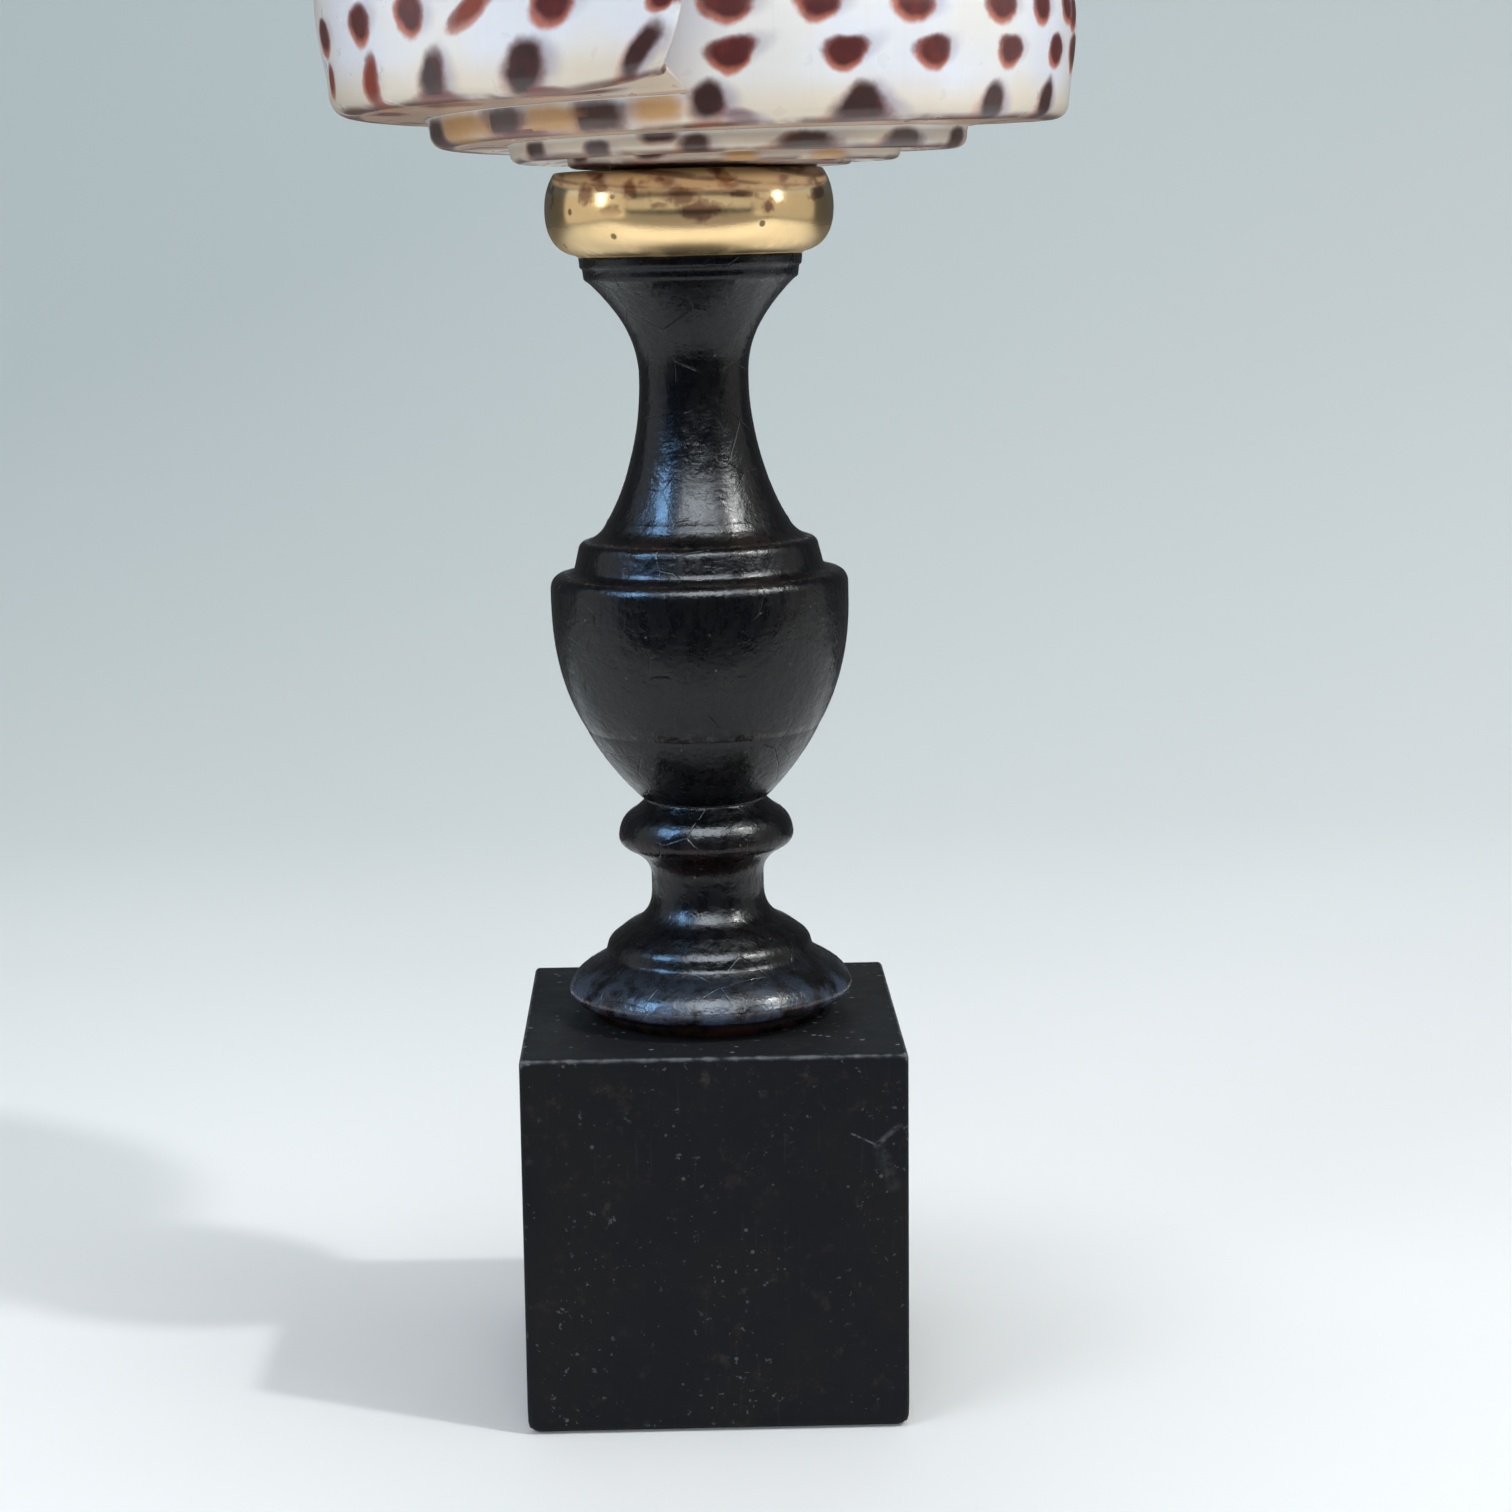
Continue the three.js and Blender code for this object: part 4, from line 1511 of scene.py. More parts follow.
class ShellSheet(Sheet):
    """The shell's vertices and faces: outside, lip, inside and narrow end.

    Columns count along the coil and steps count back from the lip; both are 0 at the lip.
    """

    NUMBERS = ("turn", "ramp", "bend", "climb", "along", "side", "facing", "inset", "rim",
               "tuck", "cap", "open")

    def __init__(self, shell: ConeShell) -> None:
        """Lays out the whole sheet.

        Args:
            shell: The shell, for its rows and columns.
        """
        super().__init__(self.NUMBERS)
        self.shell = shell
        self.rows = shell.profile()
        self.first_side = shell.ramp_rows + shell.corner_rows + shell.wall_rows
        self.last = len(self.rows) - 1
        steps = range(shell.inner_columns + 1)
        self.fill_outside()
        self.grid([self.line(self.inner, step) for step in steps])
        self.grid([self.line(self.parietal, step, self.first_side) for step in steps])
        self.fill_lip()
        self.fill_ends()

    def line(self, find: Callable[[int, int], int], place: int, first: int = 0) -> list[int]:
        """The vertices that a finder gives at one place, from a row to the last."""
        return [find(place, row) for row in range(first, self.last + 1)]

    def outside(self, column: int, row: int) -> int:
        """Finds a vertex of the outer surface; a suture is the wall top of one turn before.

        Args:
            column: Its column.
            row: Its row of the outline.

        Returns:
            Its index.
        """
        shell = self.shell
        if row == 0:
            column, row = column - shell.columns, self.first_side
        if column < -shell.columns * (shell.whorls + 1):
            return self.vertex(("apex",), turn=-shell.whorls - 1, ramp=1, bend=1, climb=1)
        return self.vertex(("out", column, row), turn=column / shell.columns, **self.rows[row])

    def inner(self, step: int, row: int) -> int:
        """Finds a vertex of the inner surface.

        Args:
            step: Its step.
            row: Its row of the outline.

        Returns:
            Its index.
        """
        if row == 0:
            return self.parietal(step, self.first_side)
        turn = -self.shell.inner_turns * step / self.shell.inner_columns
        values = dict(self.rows[row], inset=min(1.0, row / self.shell.ramp_rows), open=0.0)
        values["tuck"] = -values.get("tuck", 0.0)
        return self.vertex(("in", step, row), turn=turn, **values)

    def parietal(self, step: int, row: int) -> int:
        """Finds a vertex of the whorl inside the mouth.

        Args:
            step: Its step.
            row: Its row of the outline.

        Returns:
            Its index.
        """
        if step == 0:
            return self.outside(-self.shell.columns, row)
        turn = -1 - self.shell.inner_turns * step / self.shell.inner_columns
        return self.vertex(("wall", step, row), turn=turn, **self.rows[row])

    def fill_outside(self) -> None:
        """Fills the spire and the long side, and closes the apex."""
        shell, start = self.shell, -self.shell.columns * self.shell.whorls
        ridge = range(self.first_side + 1)
        self.grid([[self.outside(column, row) for row in ridge] for column in range(start, 1)])
        side = range(-shell.columns, 1)
        self.grid([self.line(self.outside, column, self.first_side) for column in side])
        apex = self.vertex(("apex",), turn=-shell.whorls - 2, ramp=1, bend=0)
        ring = [self.outside(column, 0) for column in range(start, start + shell.columns + 1)]
        for a, b in zip(ring, ring[1:]):
            self.face(apex, a, b)
        edge = [self.outside(start, row) for row in ridge]
        for a, b in zip(edge, edge[1:]):
            self.face(apex, b, a)

    def fill_lip(self) -> None:
        """Rounds the lip's edge from the outer surface to the inner one."""
        lines = [self.line(self.outside, 0)]
        for step in range(1, self.shell.rim_steps):
            swing = math.pi * step / self.shell.rim_steps
            line = [self.outside(0, 0)]
            for row in range(1, self.last + 1):
                deep = min(1.0, row / self.shell.ramp_rows)
                values = dict(self.rows[row], inset=deep * (1 - math.cos(swing)) / 2,
                              rim=deep * math.sin(swing))
                values["tuck"] = values.get("tuck", 0.0) * math.cos(swing)
                line.append(self.vertex(("rim", step, row), turn=0.0, **values))
            lines.append(line)
        lines.append(self.line(self.inner, 0))
        self.grid(lines)
        self.face(*[line[-1] for line in lines])

    def fill_ends(self) -> None:
        """Closes the narrow end and the deep end of the mouth."""
        shell, last = self.shell, self.last
        deep, back = shell.inner_columns, round(shell.inner_turns * shell.columns)
        outwards = range(deep, -1, -1)
        self.zip_up(self.line(self.inner, deep), self.line(self.parietal, deep, self.first_side))
        self.zip_up([self.outside(column, last) for column in range(-back, 1)],
                    [self.inner(step, last) for step in outwards])
        core = [self.parietal(step, last) for step in outwards]
        core += [self.outside(column, last) for column in range(-shell.columns + 1, -back + 1)]
        core += [self.inner(deep, last)]
        centre = self.vertex(("crown",), turn=shell.crown_turn, ramp=1, bend=1, climb=1, side=1,
                             along=1, facing=1, cap=shell.tip_round)
        for a, b in zip(core, core[1:] + core[:1]):
            self.face(centre, a, b)


@dataclass
class Marking:
    """Lays the marks: the seen ones as listed, and the others by rule, with a fixed seed."""

    coil: Coil
    whorls: int
    first_row: float = 2.0
    row_gap: float = 4.45
    row_start: float = 0.05
    last_row_share: float = 0.97
    mark_gap: float = 10.2
    mark_gap_spread: Span = (0.78, 1.25)
    mark_crowding: float = 0.35
    mark_shrinking: float = 0.4
    streak_chance: float = 0.08
    row_drift: float = 0.35
    seen_rows: int = 2
    unseen_turns: Span = (-0.77, -0.2)
    spire_gap: float = 0.055
    spire_gap_growth: float = 0.02
    spire_gap_spread: Span = (0.7, 1.3)
    unseen_phase: Span = (0.25, 0.78)
    shoulder: float = 135.0
    taper: float = 0.8
    taper_bow: float = 1.3
    ramp_reach: float = 12.0
    batch: int = 4000
    seed: int = 11

    def girth(self, share: float | np.ndarray) -> float | np.ndarray:
        """Radius of the lip's turn, by the share of the way to the narrow end."""
        return self.coil.lip_radius * (1 - self.taper * share ** self.taper_bow)

    def more_marks(self) -> list[Mark]:
        """Spreads marks by rule over the parts of the coil that have none yet.

        Returns:
            All marks, with the seen ones first.
        """
        chance = random.Random(self.seed)
        marks = list(SEEN_MARKS)
        opening = self.coil.tip_growth - self.coil.growth
        row = 0
        while True:
            rise = self.first_row + row * self.row_gap
            share = rise / (self.coil.anterior_height - self.shoulder)
            if share > self.last_row_share:
                return marks + self.spire_marks(chance)
            radius = self.girth(share)
            turn = -chance.uniform(0.0, self.row_start)
            while turn > -1.0:
                local = radius * (self.coil.growth + opening * share * share) ** turn
                gap = self.mark_gap * chance.uniform(*self.mark_gap_spread)
                step = gap * (1 - self.mark_crowding * share) / (TAU * local)
                if row > self.seen_rows or self.unseen_turns[0] < turn < self.unseen_turns[1]:
                    marks.append(self.body_mark(chance, turn, rise, row, share))
                turn -= step
            row += 1

    def body_mark(self, chance: random.Random, turn: float, rise: float, row: int,
                  share: float) -> Mark:
        """One mark of a spiral row on the long side.

        Args:
            chance: The seeded chance.
            turn: Its turn.
            rise: The row's height above the shoulder.
            row: The row's number.
            share: How far along the side the row is.

        Returns:
            The mark.
        """
        if row == 0:
            return BLOTCHES.draw(chance, turn, rise, MarkKind.BLOTCH)
        kind = MarkKind.STREAK if chance.random() < self.streak_chance else MarkKind.SPOT
        rise += chance.uniform(-self.row_drift, self.row_drift)
        return SPOTS.draw(chance, turn, rise, kind, 1 - self.mark_shrinking * share)

    def spire_marks(self, chance: random.Random) -> list[Mark]:
        """Lays marks on the spire's walls and ramps, where none have been placed.

        Args:
            chance: The seeded chance.

        Returns:
            The marks.
        """
        marks: list[Mark] = []
        turn = -0.2
        while turn > -self.whorls + 0.4:
            gap = self.spire_gap + self.spire_gap_growth * -turn
            turn -= chance.uniform(*self.spire_gap_spread) * gap
            size = self.coil.growth ** turn
            hidden = self.unseen_phase[0] < turn % 1.0 < self.unseen_phase[1]
            if turn < -1.0 and (hidden or turn < -3.0):
                kind = chance.choice((MarkKind.BLOCK, MarkKind.BLOCK, MarkKind.TAN))
                marks.append(Mark(turn, 2.0 * size + 0.5, chance.uniform(2.2, 4.2) * size + 0.4,
                                  1.5 * size + 0.3, 0.0, -0.1, kind))
            if hidden or turn < -1.2:
                marks.append(Mark(turn - 0.02, -5.5 * size, chance.uniform(2.0, 3.6) * size,
                                  chance.uniform(3.5, 5.5) * size, chance.uniform(15, 35), -0.2,
                                  MarkKind.FLAME))
        return marks

    def spread(self, mesh: bpy.types.Mesh) -> None:
        """Gives each face its two nearest marks, and its corners their places in them.

        Args:
            mesh: The shell's mesh, which carries turn and rise.
        """
        marks = self.more_marks()
        turn, rise = number_layer(mesh, "turn"), number_layer(mesh, "rise")
        spots = np.array([[m.turn, m.rise, m.half_length, m.half_height, math.radians(m.tilt)]
                          for m in marks], np.float32)
        corner_vertex = np.zeros(len(mesh.loops), np.int32)
        mesh.loops.foreach_get("vertex_index", corner_vertex)
        totals = np.zeros(len(mesh.polygons), np.int32)
        mesh.polygons.foreach_get("loop_total", totals)
        face_of = np.repeat(np.arange(len(totals)), totals)
        starts = np.concatenate(([0], np.cumsum(totals)[:-1]))
        mid_turn = np.add.reduceat(turn[corner_vertex], starts) / totals
        mid_rise = np.add.reduceat(rise[corner_vertex], starts) / totals
        reach = self.reach(spots[:, 0], spots[:, 1])
        chosen = np.zeros((len(totals), 2), np.int32)
        for low in range(0, len(totals), self.batch):
            part = slice(low, low + self.batch)
            p, q = self.local(mid_turn[part, None], mid_rise[part, None], spots[None], reach[None])
            far = self.cover(p, q)
            near = np.argpartition(far, 1, axis=1)[:, :2]
            order = np.take_along_axis(far, near, 1).argsort(1)
            chosen[part] = np.take_along_axis(near, order, 1)
        looks = [LOOKS[m.kind] for m in marks]
        form = np.array([[m.wide_top, k.square, k.soft] for m, k in zip(marks, looks)])
        tint = np.array([[k.fringe, k.smear, k.strength] for k in looks])
        core = np.array([k.core for k in looks])
        for rank, name in enumerate(("a", "b")):
            own = chosen[face_of, rank]
            p, q = self.local(turn[corner_vertex], rise[corner_vertex], spots[own], reach[own])
            self.write(mesh, "place_" + name, np.stack([p, q, np.zeros_like(p)], 1))
            for title, table in (("form_", form), ("tint_", tint), ("core_", core)):
                self.write(mesh, title + name, table[own])

    @staticmethod
    def cover(p: np.ndarray, q: np.ndarray) -> np.ndarray:
        """How far places are from a mark's core, fringe or smear, whichever is nearest."""
        return np.minimum(np.minimum(CORE.far(p, q), FRINGE.far(p, q)), SMEAR.far(p, q))

    def reach(self, turn: np.ndarray, rise: np.ndarray) -> np.ndarray:
        """Radius of the surface, at least 1 mm.

        Args:
            turn: Turns of the places.
            rise: Heights of the places above the shoulder.

        Returns:
            The radius at each place.
        """
        share = np.clip(rise / (self.coil.anterior_height - self.shoulder), 0, 1)
        growth = self.coil.growth + (self.coil.tip_growth - self.coil.growth) * share ** 2
        inward = np.clip(rise, -self.ramp_reach, 0)
        return np.maximum(1.0, self.girth(share) * growth ** turn + inward)

    @staticmethod
    def local(turn: np.ndarray, rise: np.ndarray, spots: np.ndarray,
              reach: np.ndarray) -> tuple[np.ndarray, np.ndarray]:
        """Place within a mark, in half sizes.

        Args:
            turn: Turns of the places.
            rise: Rises of the places.
            spots: The marks' numbers.
            reach: The marks' radii.

        Returns:
            The places along and up each mark.
        """
        across = (turn - spots[..., 0]) * TAU * reach
        up = rise - spots[..., 1]
        cosine, sine = np.cos(spots[..., 4]), np.sin(spots[..., 4])
        return ((across * cosine - up * sine) / spots[..., 2],
                (across * sine + up * cosine) / spots[..., 3])

    @staticmethod
    def write(mesh: bpy.types.Mesh, name: str, table: np.ndarray) -> None:
        """Keeps a vector on each corner of each face."""
        layer = mesh.attributes.new(name, "FLOAT_VECTOR", "CORNER")
        layer.data.foreach_set("vector", np.ascontiguousarray(table, np.float32).ravel())


@dataclass
class ConeShell:
    """The seashell: one growth from the apex to the free lip."""

    coil: Coil = field(default_factory=Coil)
    finish: ShellFinish = field(default_factory=ShellFinish)
    whorls: int = 5
    columns: int = 176
    inner_columns: int = 40
    ramp_rows: int = 6
    corner_rows: int = 7
    wall_rows: int = 2
    side_rows: int = 118
    crowding: float = 1.35
    inner_turns: float = 0.5
    rim_steps: int = 5
    tip_steps: int = 3
    tip_round: float = 0.55
    corner_facing: float = 0.9
    wall_facing: float = 0.95
    crown_turn: float = -8.0

    def profile(self) -> list[dict[str, float]]:
        """Lists the outline's rows, from the suture over the shoulder to the narrow end.

        Returns:
            The numbers of each row, by name.
        """
        rows: list[dict[str, float]] = []
        for i in range(self.ramp_rows):
            rows.append({"ramp": i / self.ramp_rows, "open": i / self.ramp_rows})
        for i in range(self.corner_rows + 1):
            share = i / self.corner_rows
            rows.append({"ramp": 1, "bend": share, "facing": self.corner_facing * share, "open": 1})
        for i in range(1, self.wall_rows):
            rows.append({"ramp": 1, "bend": 1, "climb": i / self.wall_rows,
                         "facing": self.wall_facing, "open": 1})
        for i in range(self.side_rows + 1):
            share = (i / self.side_rows) ** self.crowding
            rows.append({"ramp": 1, "bend": 1, "climb": 1, "side": 1, "along": share, "facing": 1,
                         "open": 1})
        for i in range(1, self.tip_steps + 1):
            swing = math.pi / 2 * i / self.tip_steps
            rows.append({**rows[-i], "along": 1.0, "tuck": self.tip_round * (1 - math.cos(swing)),
                         "cap": self.tip_round * math.sin(swing)})
        return rows

    def build(self, lean: Lean) -> bpy.types.Object:
        """Grows the shell and lays its marks.

        Args:
            lean: The stand's lean.

        Returns:
            The finished piece.
        """
        material = self.finish.material()
        piece = ShellSheet(self).to_object("spotted_cone_shell")
        tree = CoilTree(self.coil, lean, material)
        grow(piece, tree, tree.sizes)
        Marking(self.coil, self.whorls).spread(piece.data)
        settle(piece, Part.SHELL, Slot.SHELL, material)
        return piece


# Turned pieces


@dataclass(frozen=True)
class Stroke:
    """One stretch of a turned outline: its end, the handles that bend it, and its wear."""

    end: tuple[float, float]
    handles: tuple[tuple[float, float], ...] = ()
    steps: int = 4
    wear: float = 0.0
    undercut: float = 0.0


Point = tuple[float, float, float, float]


def trace(start: tuple[float, float], strokes: Iterable[Stroke]) -> list[Point]:
    """Samples an outline.

    Args:
        start: Its first radius and height.
        strokes: Its stretches.

    Returns:
        Radius, height, wear and undercut of each point.
    """
    points = [(*start, 0.0, 0.0)]
    for stroke in strokes:
        knots = [points[-1][:2], *stroke.handles, stroke.end]
        old_wear = points[-1][2]
        for i in range(1, stroke.steps + 1):
            share = i / stroke.steps
            line = [np.array(k, float) for k in knots]
            while len(line) > 1:
                line = [a + (b - a) * share for a, b in zip(line, line[1:])]
            wear = max(old_wear * (1 - share) ** 3, stroke.wear * share ** 3)
            points.append((float(line[0][0]), float(line[0][1]), wear, stroke.undercut))
    return points


@dataclass
class Lathe:
    """Turns an outline about the leaning axis, with the small unevenness of hand work."""

    sides: int = 144
    unevenness: float = 0.05
    feature: float = 6.0
    seed: float = 5.0

    def turn(self, name: str, outline: Sequence[Point], closed: bool, lean: Lean,
             material: bpy.types.Material) -> bpy.types.Object:
        """Makes the turned piece.

        Args:
            name: The piece's name.
            outline: Radius, height, wear and undercut of each point.
            closed: Whether the outline joins up with itself, as a ring's section does.
            lean: The stand's lean.
            material: The finish.

        Returns:
            The piece.
        """
        sheet = Sheet(("spin", "radius", "height", "wear", "undercut"))

        def vertex(side: int, point: int) -> int:
            """Finds a vertex of the turned surface; one on the axis is shared by all sides.

            Args:
                side: Its place round the axis.
                point: Its point of the outline.

            Returns:
                Its index.
            """
            point %= len(outline)
            radius, height, wear, undercut = outline[point]
            side = 0 if radius == 0 else side % self.sides
            return sheet.vertex((side, point), spin=side / self.sides, radius=radius, height=height,
                                wear=wear, undercut=undercut)

        count = len(outline) + (1 if closed else 0)
        sheet.grid([[vertex(s, p) for p in range(count)] for s in range(self.sides + 1)])
        piece = sheet.to_object(name)
        graph = self.tree(lean, material)
        sizes = {"Unevenness": self.unevenness, "Feature": self.feature}
        return grow(piece, graph, sizes)

    def tree(self, lean: Lean, material: bpy.types.Material) -> GeometryGraph:
        """Builds the Geometry Nodes tree that turns the sheet.

        Args:
            lean: The stand's lean.
            material: The finish.

        Returns:
            The tree.
        """
        graph = GeometryGraph("lathe_turning")
        uneven, feature = graph.size("Unevenness", self.unevenness), graph.size("Feature", self.feature)
        angle = graph.attribute("spin") * TAU
        radius, height = graph.attribute("radius"), graph.attribute("height")
        x, y = radius * angle.cosine(), radius * angle.sine()
        place = join(graph.tree, x / feature, y / feature, height / feature)
        swell = (graph.noise(place, 1.0, self.seed) - 0.5) * uneven * 2 * (radius * 0.5).most(1.0)
        dip = (graph.noise(place, 1.7, self.seed + 4) - 0.5) * uneven * (radius * 0.5).most(1.0)
        grown = radius + swell
        x, z = lean.tilt(grown * angle.cosine(), height + dip)
        graph.place(x, grown * angle.sine(), z)
        graph.finish(material)
        return graph


@dataclass
class TurnedStem:
    """The black turned stem: foot, bead, urn, neck and top plate in one piece."""

    underside: float = 40.55
    base_radius: float = 12.4
    rim_radius: float = 15.3
    rim_height: float = 43.6
    step_radius: float = 11.2
    waist_radius: float = 6.05
    bead_radius: float = 9.4
    groove_radius: float = 6.5
    urn_radius: float = 15.8
    flange_radius: float = 13.2
    neck_radius: float = 5.75
    plate_radius: float = 11.7
    top: float = 121.4
    finish: StemFinish = field(default_factory=StemFinish)
    lathe: Lathe = field(default_factory=lambda: Lathe(unevenness=0.09))

    def outline(self) -> list[Point]:
        """Draws the stem's outline, from the underside up.

        Returns:
            Radius, height, wear and undercut of each point.
        """
        return trace((0.0, self.underside), [
            *self.foot(), *self.bead(), *self.urn(), *self.neck(),
        ])

    def foot(self) -> list[Stroke]:
        """Draws the foot, its step and the hollow under the waist.

        Returns:
            Its strokes, upwards.
        """
        rim, step = self.rim_radius, self.step_radius
        return [
            Stroke((self.base_radius, self.underside), steps=6, undercut=1),
            Stroke((self.base_radius, 42.1), steps=2, undercut=1),
            Stroke((rim - 0.7, 42.4), steps=3, undercut=1),
            Stroke((rim, self.rim_height), ((rim + 0.05, 42.7),), steps=6, wear=1.0, undercut=0.8),
            Stroke((rim - 0.35, 44.3), steps=3, wear=0.3),
            Stroke((step + 0.4, 46.9), ((14.3, 45.6), (12.6, 46.1)), steps=8),
            Stroke((step + 0.05, 47.25), steps=2),
            Stroke((step - 0.25, 48.3), steps=3, wear=0.5),
            Stroke((9.9, 49.4), ((10.7, 48.9),), steps=5, wear=0.6),
            Stroke((8.6, 50.35), ((9.3, 49.9),), steps=5),
            Stroke((self.waist_radius, 54.3), ((6.6, 51.1), (self.waist_radius, 52.5)), steps=10),
        ]

    def bead(self) -> list[Stroke]:
        """Draws the waist and the bead above it.

        Returns:
            Its strokes, upwards.
        """
        return [
            Stroke((self.waist_radius, 55.9), steps=3),
            Stroke((8.45, 58.7), ((6.2, 57.6),), steps=6, undercut=0.4),
            Stroke((self.bead_radius, 60.1), ((9.45, 59.2),), steps=5, wear=0.5, undercut=0.5),
            Stroke((7.6, 62.9), ((9.25, 61.7), (8.6, 62.4)), steps=7, wear=0.1),
            Stroke((self.groove_radius, 64.05), ((7.0, 63.4), (6.6, 63.7)), steps=5),
        ]

    def urn(self) -> list[Stroke]:
        """Draws the urn, its rounded rim, the flange on it and the cove above.

        Returns:
            Its strokes, upwards.
        """
        wide = self.urn_radius
        return [
            Stroke((7.0, 64.4), steps=2),
            Stroke((12.35, 71.6), ((9.2, 66.6), (11.2, 69.3)), steps=10),
            Stroke((12.55, 72.0), ((12.38, 71.85),), steps=3, wear=0.7),
            Stroke((wide, 85.2), ((14.9, 76.0), (wide, 80.4)), steps=16),
            Stroke((wide, 86.9), steps=3),
            Stroke((14.9, 88.35), ((wide, 88.0),), steps=6, wear=0.7),
            Stroke((self.flange_radius + 0.25, 88.75), steps=3),
            Stroke((self.flange_radius, 89.1), steps=2),
            Stroke((12.75, 90.9), steps=4, wear=0.3),
            Stroke((11.7, 91.9), ((12.65, 91.6), (12.3, 91.85)), steps=5, wear=0.8),
            Stroke((9.6, 93.9), ((10.6, 92.3), (9.9, 93.1)), steps=6),
            Stroke((9.35, 94.25), steps=2, wear=0.2),
        ]

    def neck(self) -> list[Stroke]:
        """Draws the long neck, flaring at both ends, and the stepped top plate.

        Returns:
            Its strokes, upwards.
        """
        slim = self.neck_radius
        return [
            Stroke((slim, 109.0), ((7.0, 98.4), (slim, 104.0)), steps=18),
            Stroke((10.6, 118.7), ((slim, 113.0), (7.8, 115.9)), steps=16),
            Stroke((11.2, 119.15), steps=2, wear=0.3),
            Stroke((11.35, 120.2), steps=3, wear=0.2),
            Stroke((self.plate_radius - 0.1, 120.4), steps=2),
            Stroke((self.plate_radius, self.top), steps=3, wear=0.3),
            Stroke((0.0, self.top), steps=5),
        ]

    def build(self, lean: Lean) -> bpy.types.Object:
        """Turns and dresses the stem.

        Args:
            lean: The stand's lean.

        Returns:
            The finished piece.
        """
        material = self.finish.material()
        piece = self.lathe.turn("black_turned_stem", self.outline(), False, lean, material)
        settle(piece, Part.STEM, Slot.STEM, material)
        return piece


@dataclass
class BrassCollar:
    """The polished bun ring that the spire stands in."""

    bottom: float = 121.45
    top: float = 130.15
    radius: float = 15.05
    bulge_height: float = 126.2
    foot_radius: float = 11.7
    rim_radius: float = 14.0
    cup_radius: float = 12.4
    bore_radius: float = 8.5
    cup_depth: float = 3.0
    finish: BrassFinish = field(default_factory=BrassFinish)
    lathe: Lathe = field(default_factory=lambda: Lathe(unevenness=0.012, feature=9, seed=2.0))

    def outline(self) -> list[Point]:
        """Draws the ring's section, which joins up with itself.

        Returns:
            Radius, height, wear and undercut of each point.
        """
        points = trace((self.bore_radius, self.bottom), [
            Stroke((self.foot_radius, self.bottom), steps=4, wear=1.0),
            Stroke((self.foot_radius + 0.25, self.bottom + 0.18), steps=2, wear=0.8),
            Stroke((self.radius, self.bulge_height), ((13.7, 121.95), (self.radius, 123.3)), steps=20),
            Stroke((self.rim_radius, self.top - 0.1), ((self.radius, 128.5),), steps=12, wear=0.5),
            Stroke((13.6, self.top), ((13.85, self.top),), steps=3, wear=0.9),
            Stroke((self.cup_radius, self.top), steps=3, wear=1.0),
            Stroke((self.bore_radius, self.top - self.cup_depth), ((11.0, 129.0),), steps=8, wear=1.0),
            Stroke((self.bore_radius, self.bottom), steps=6, wear=1.0),
        ])
        return points[:-1]

    def build(self, lean: Lean) -> bpy.types.Object:
        """Turns and dresses the collar.

        Args:
            lean: The stand's lean.

        Returns:
            The finished piece.
        """
        material = self.finish.material()
        piece = self.lathe.turn("polished_brass_collar", self.outline(), True, lean, material)
        settle(piece, Part.COLLAR, Slot.COLLAR, material)
        return piece


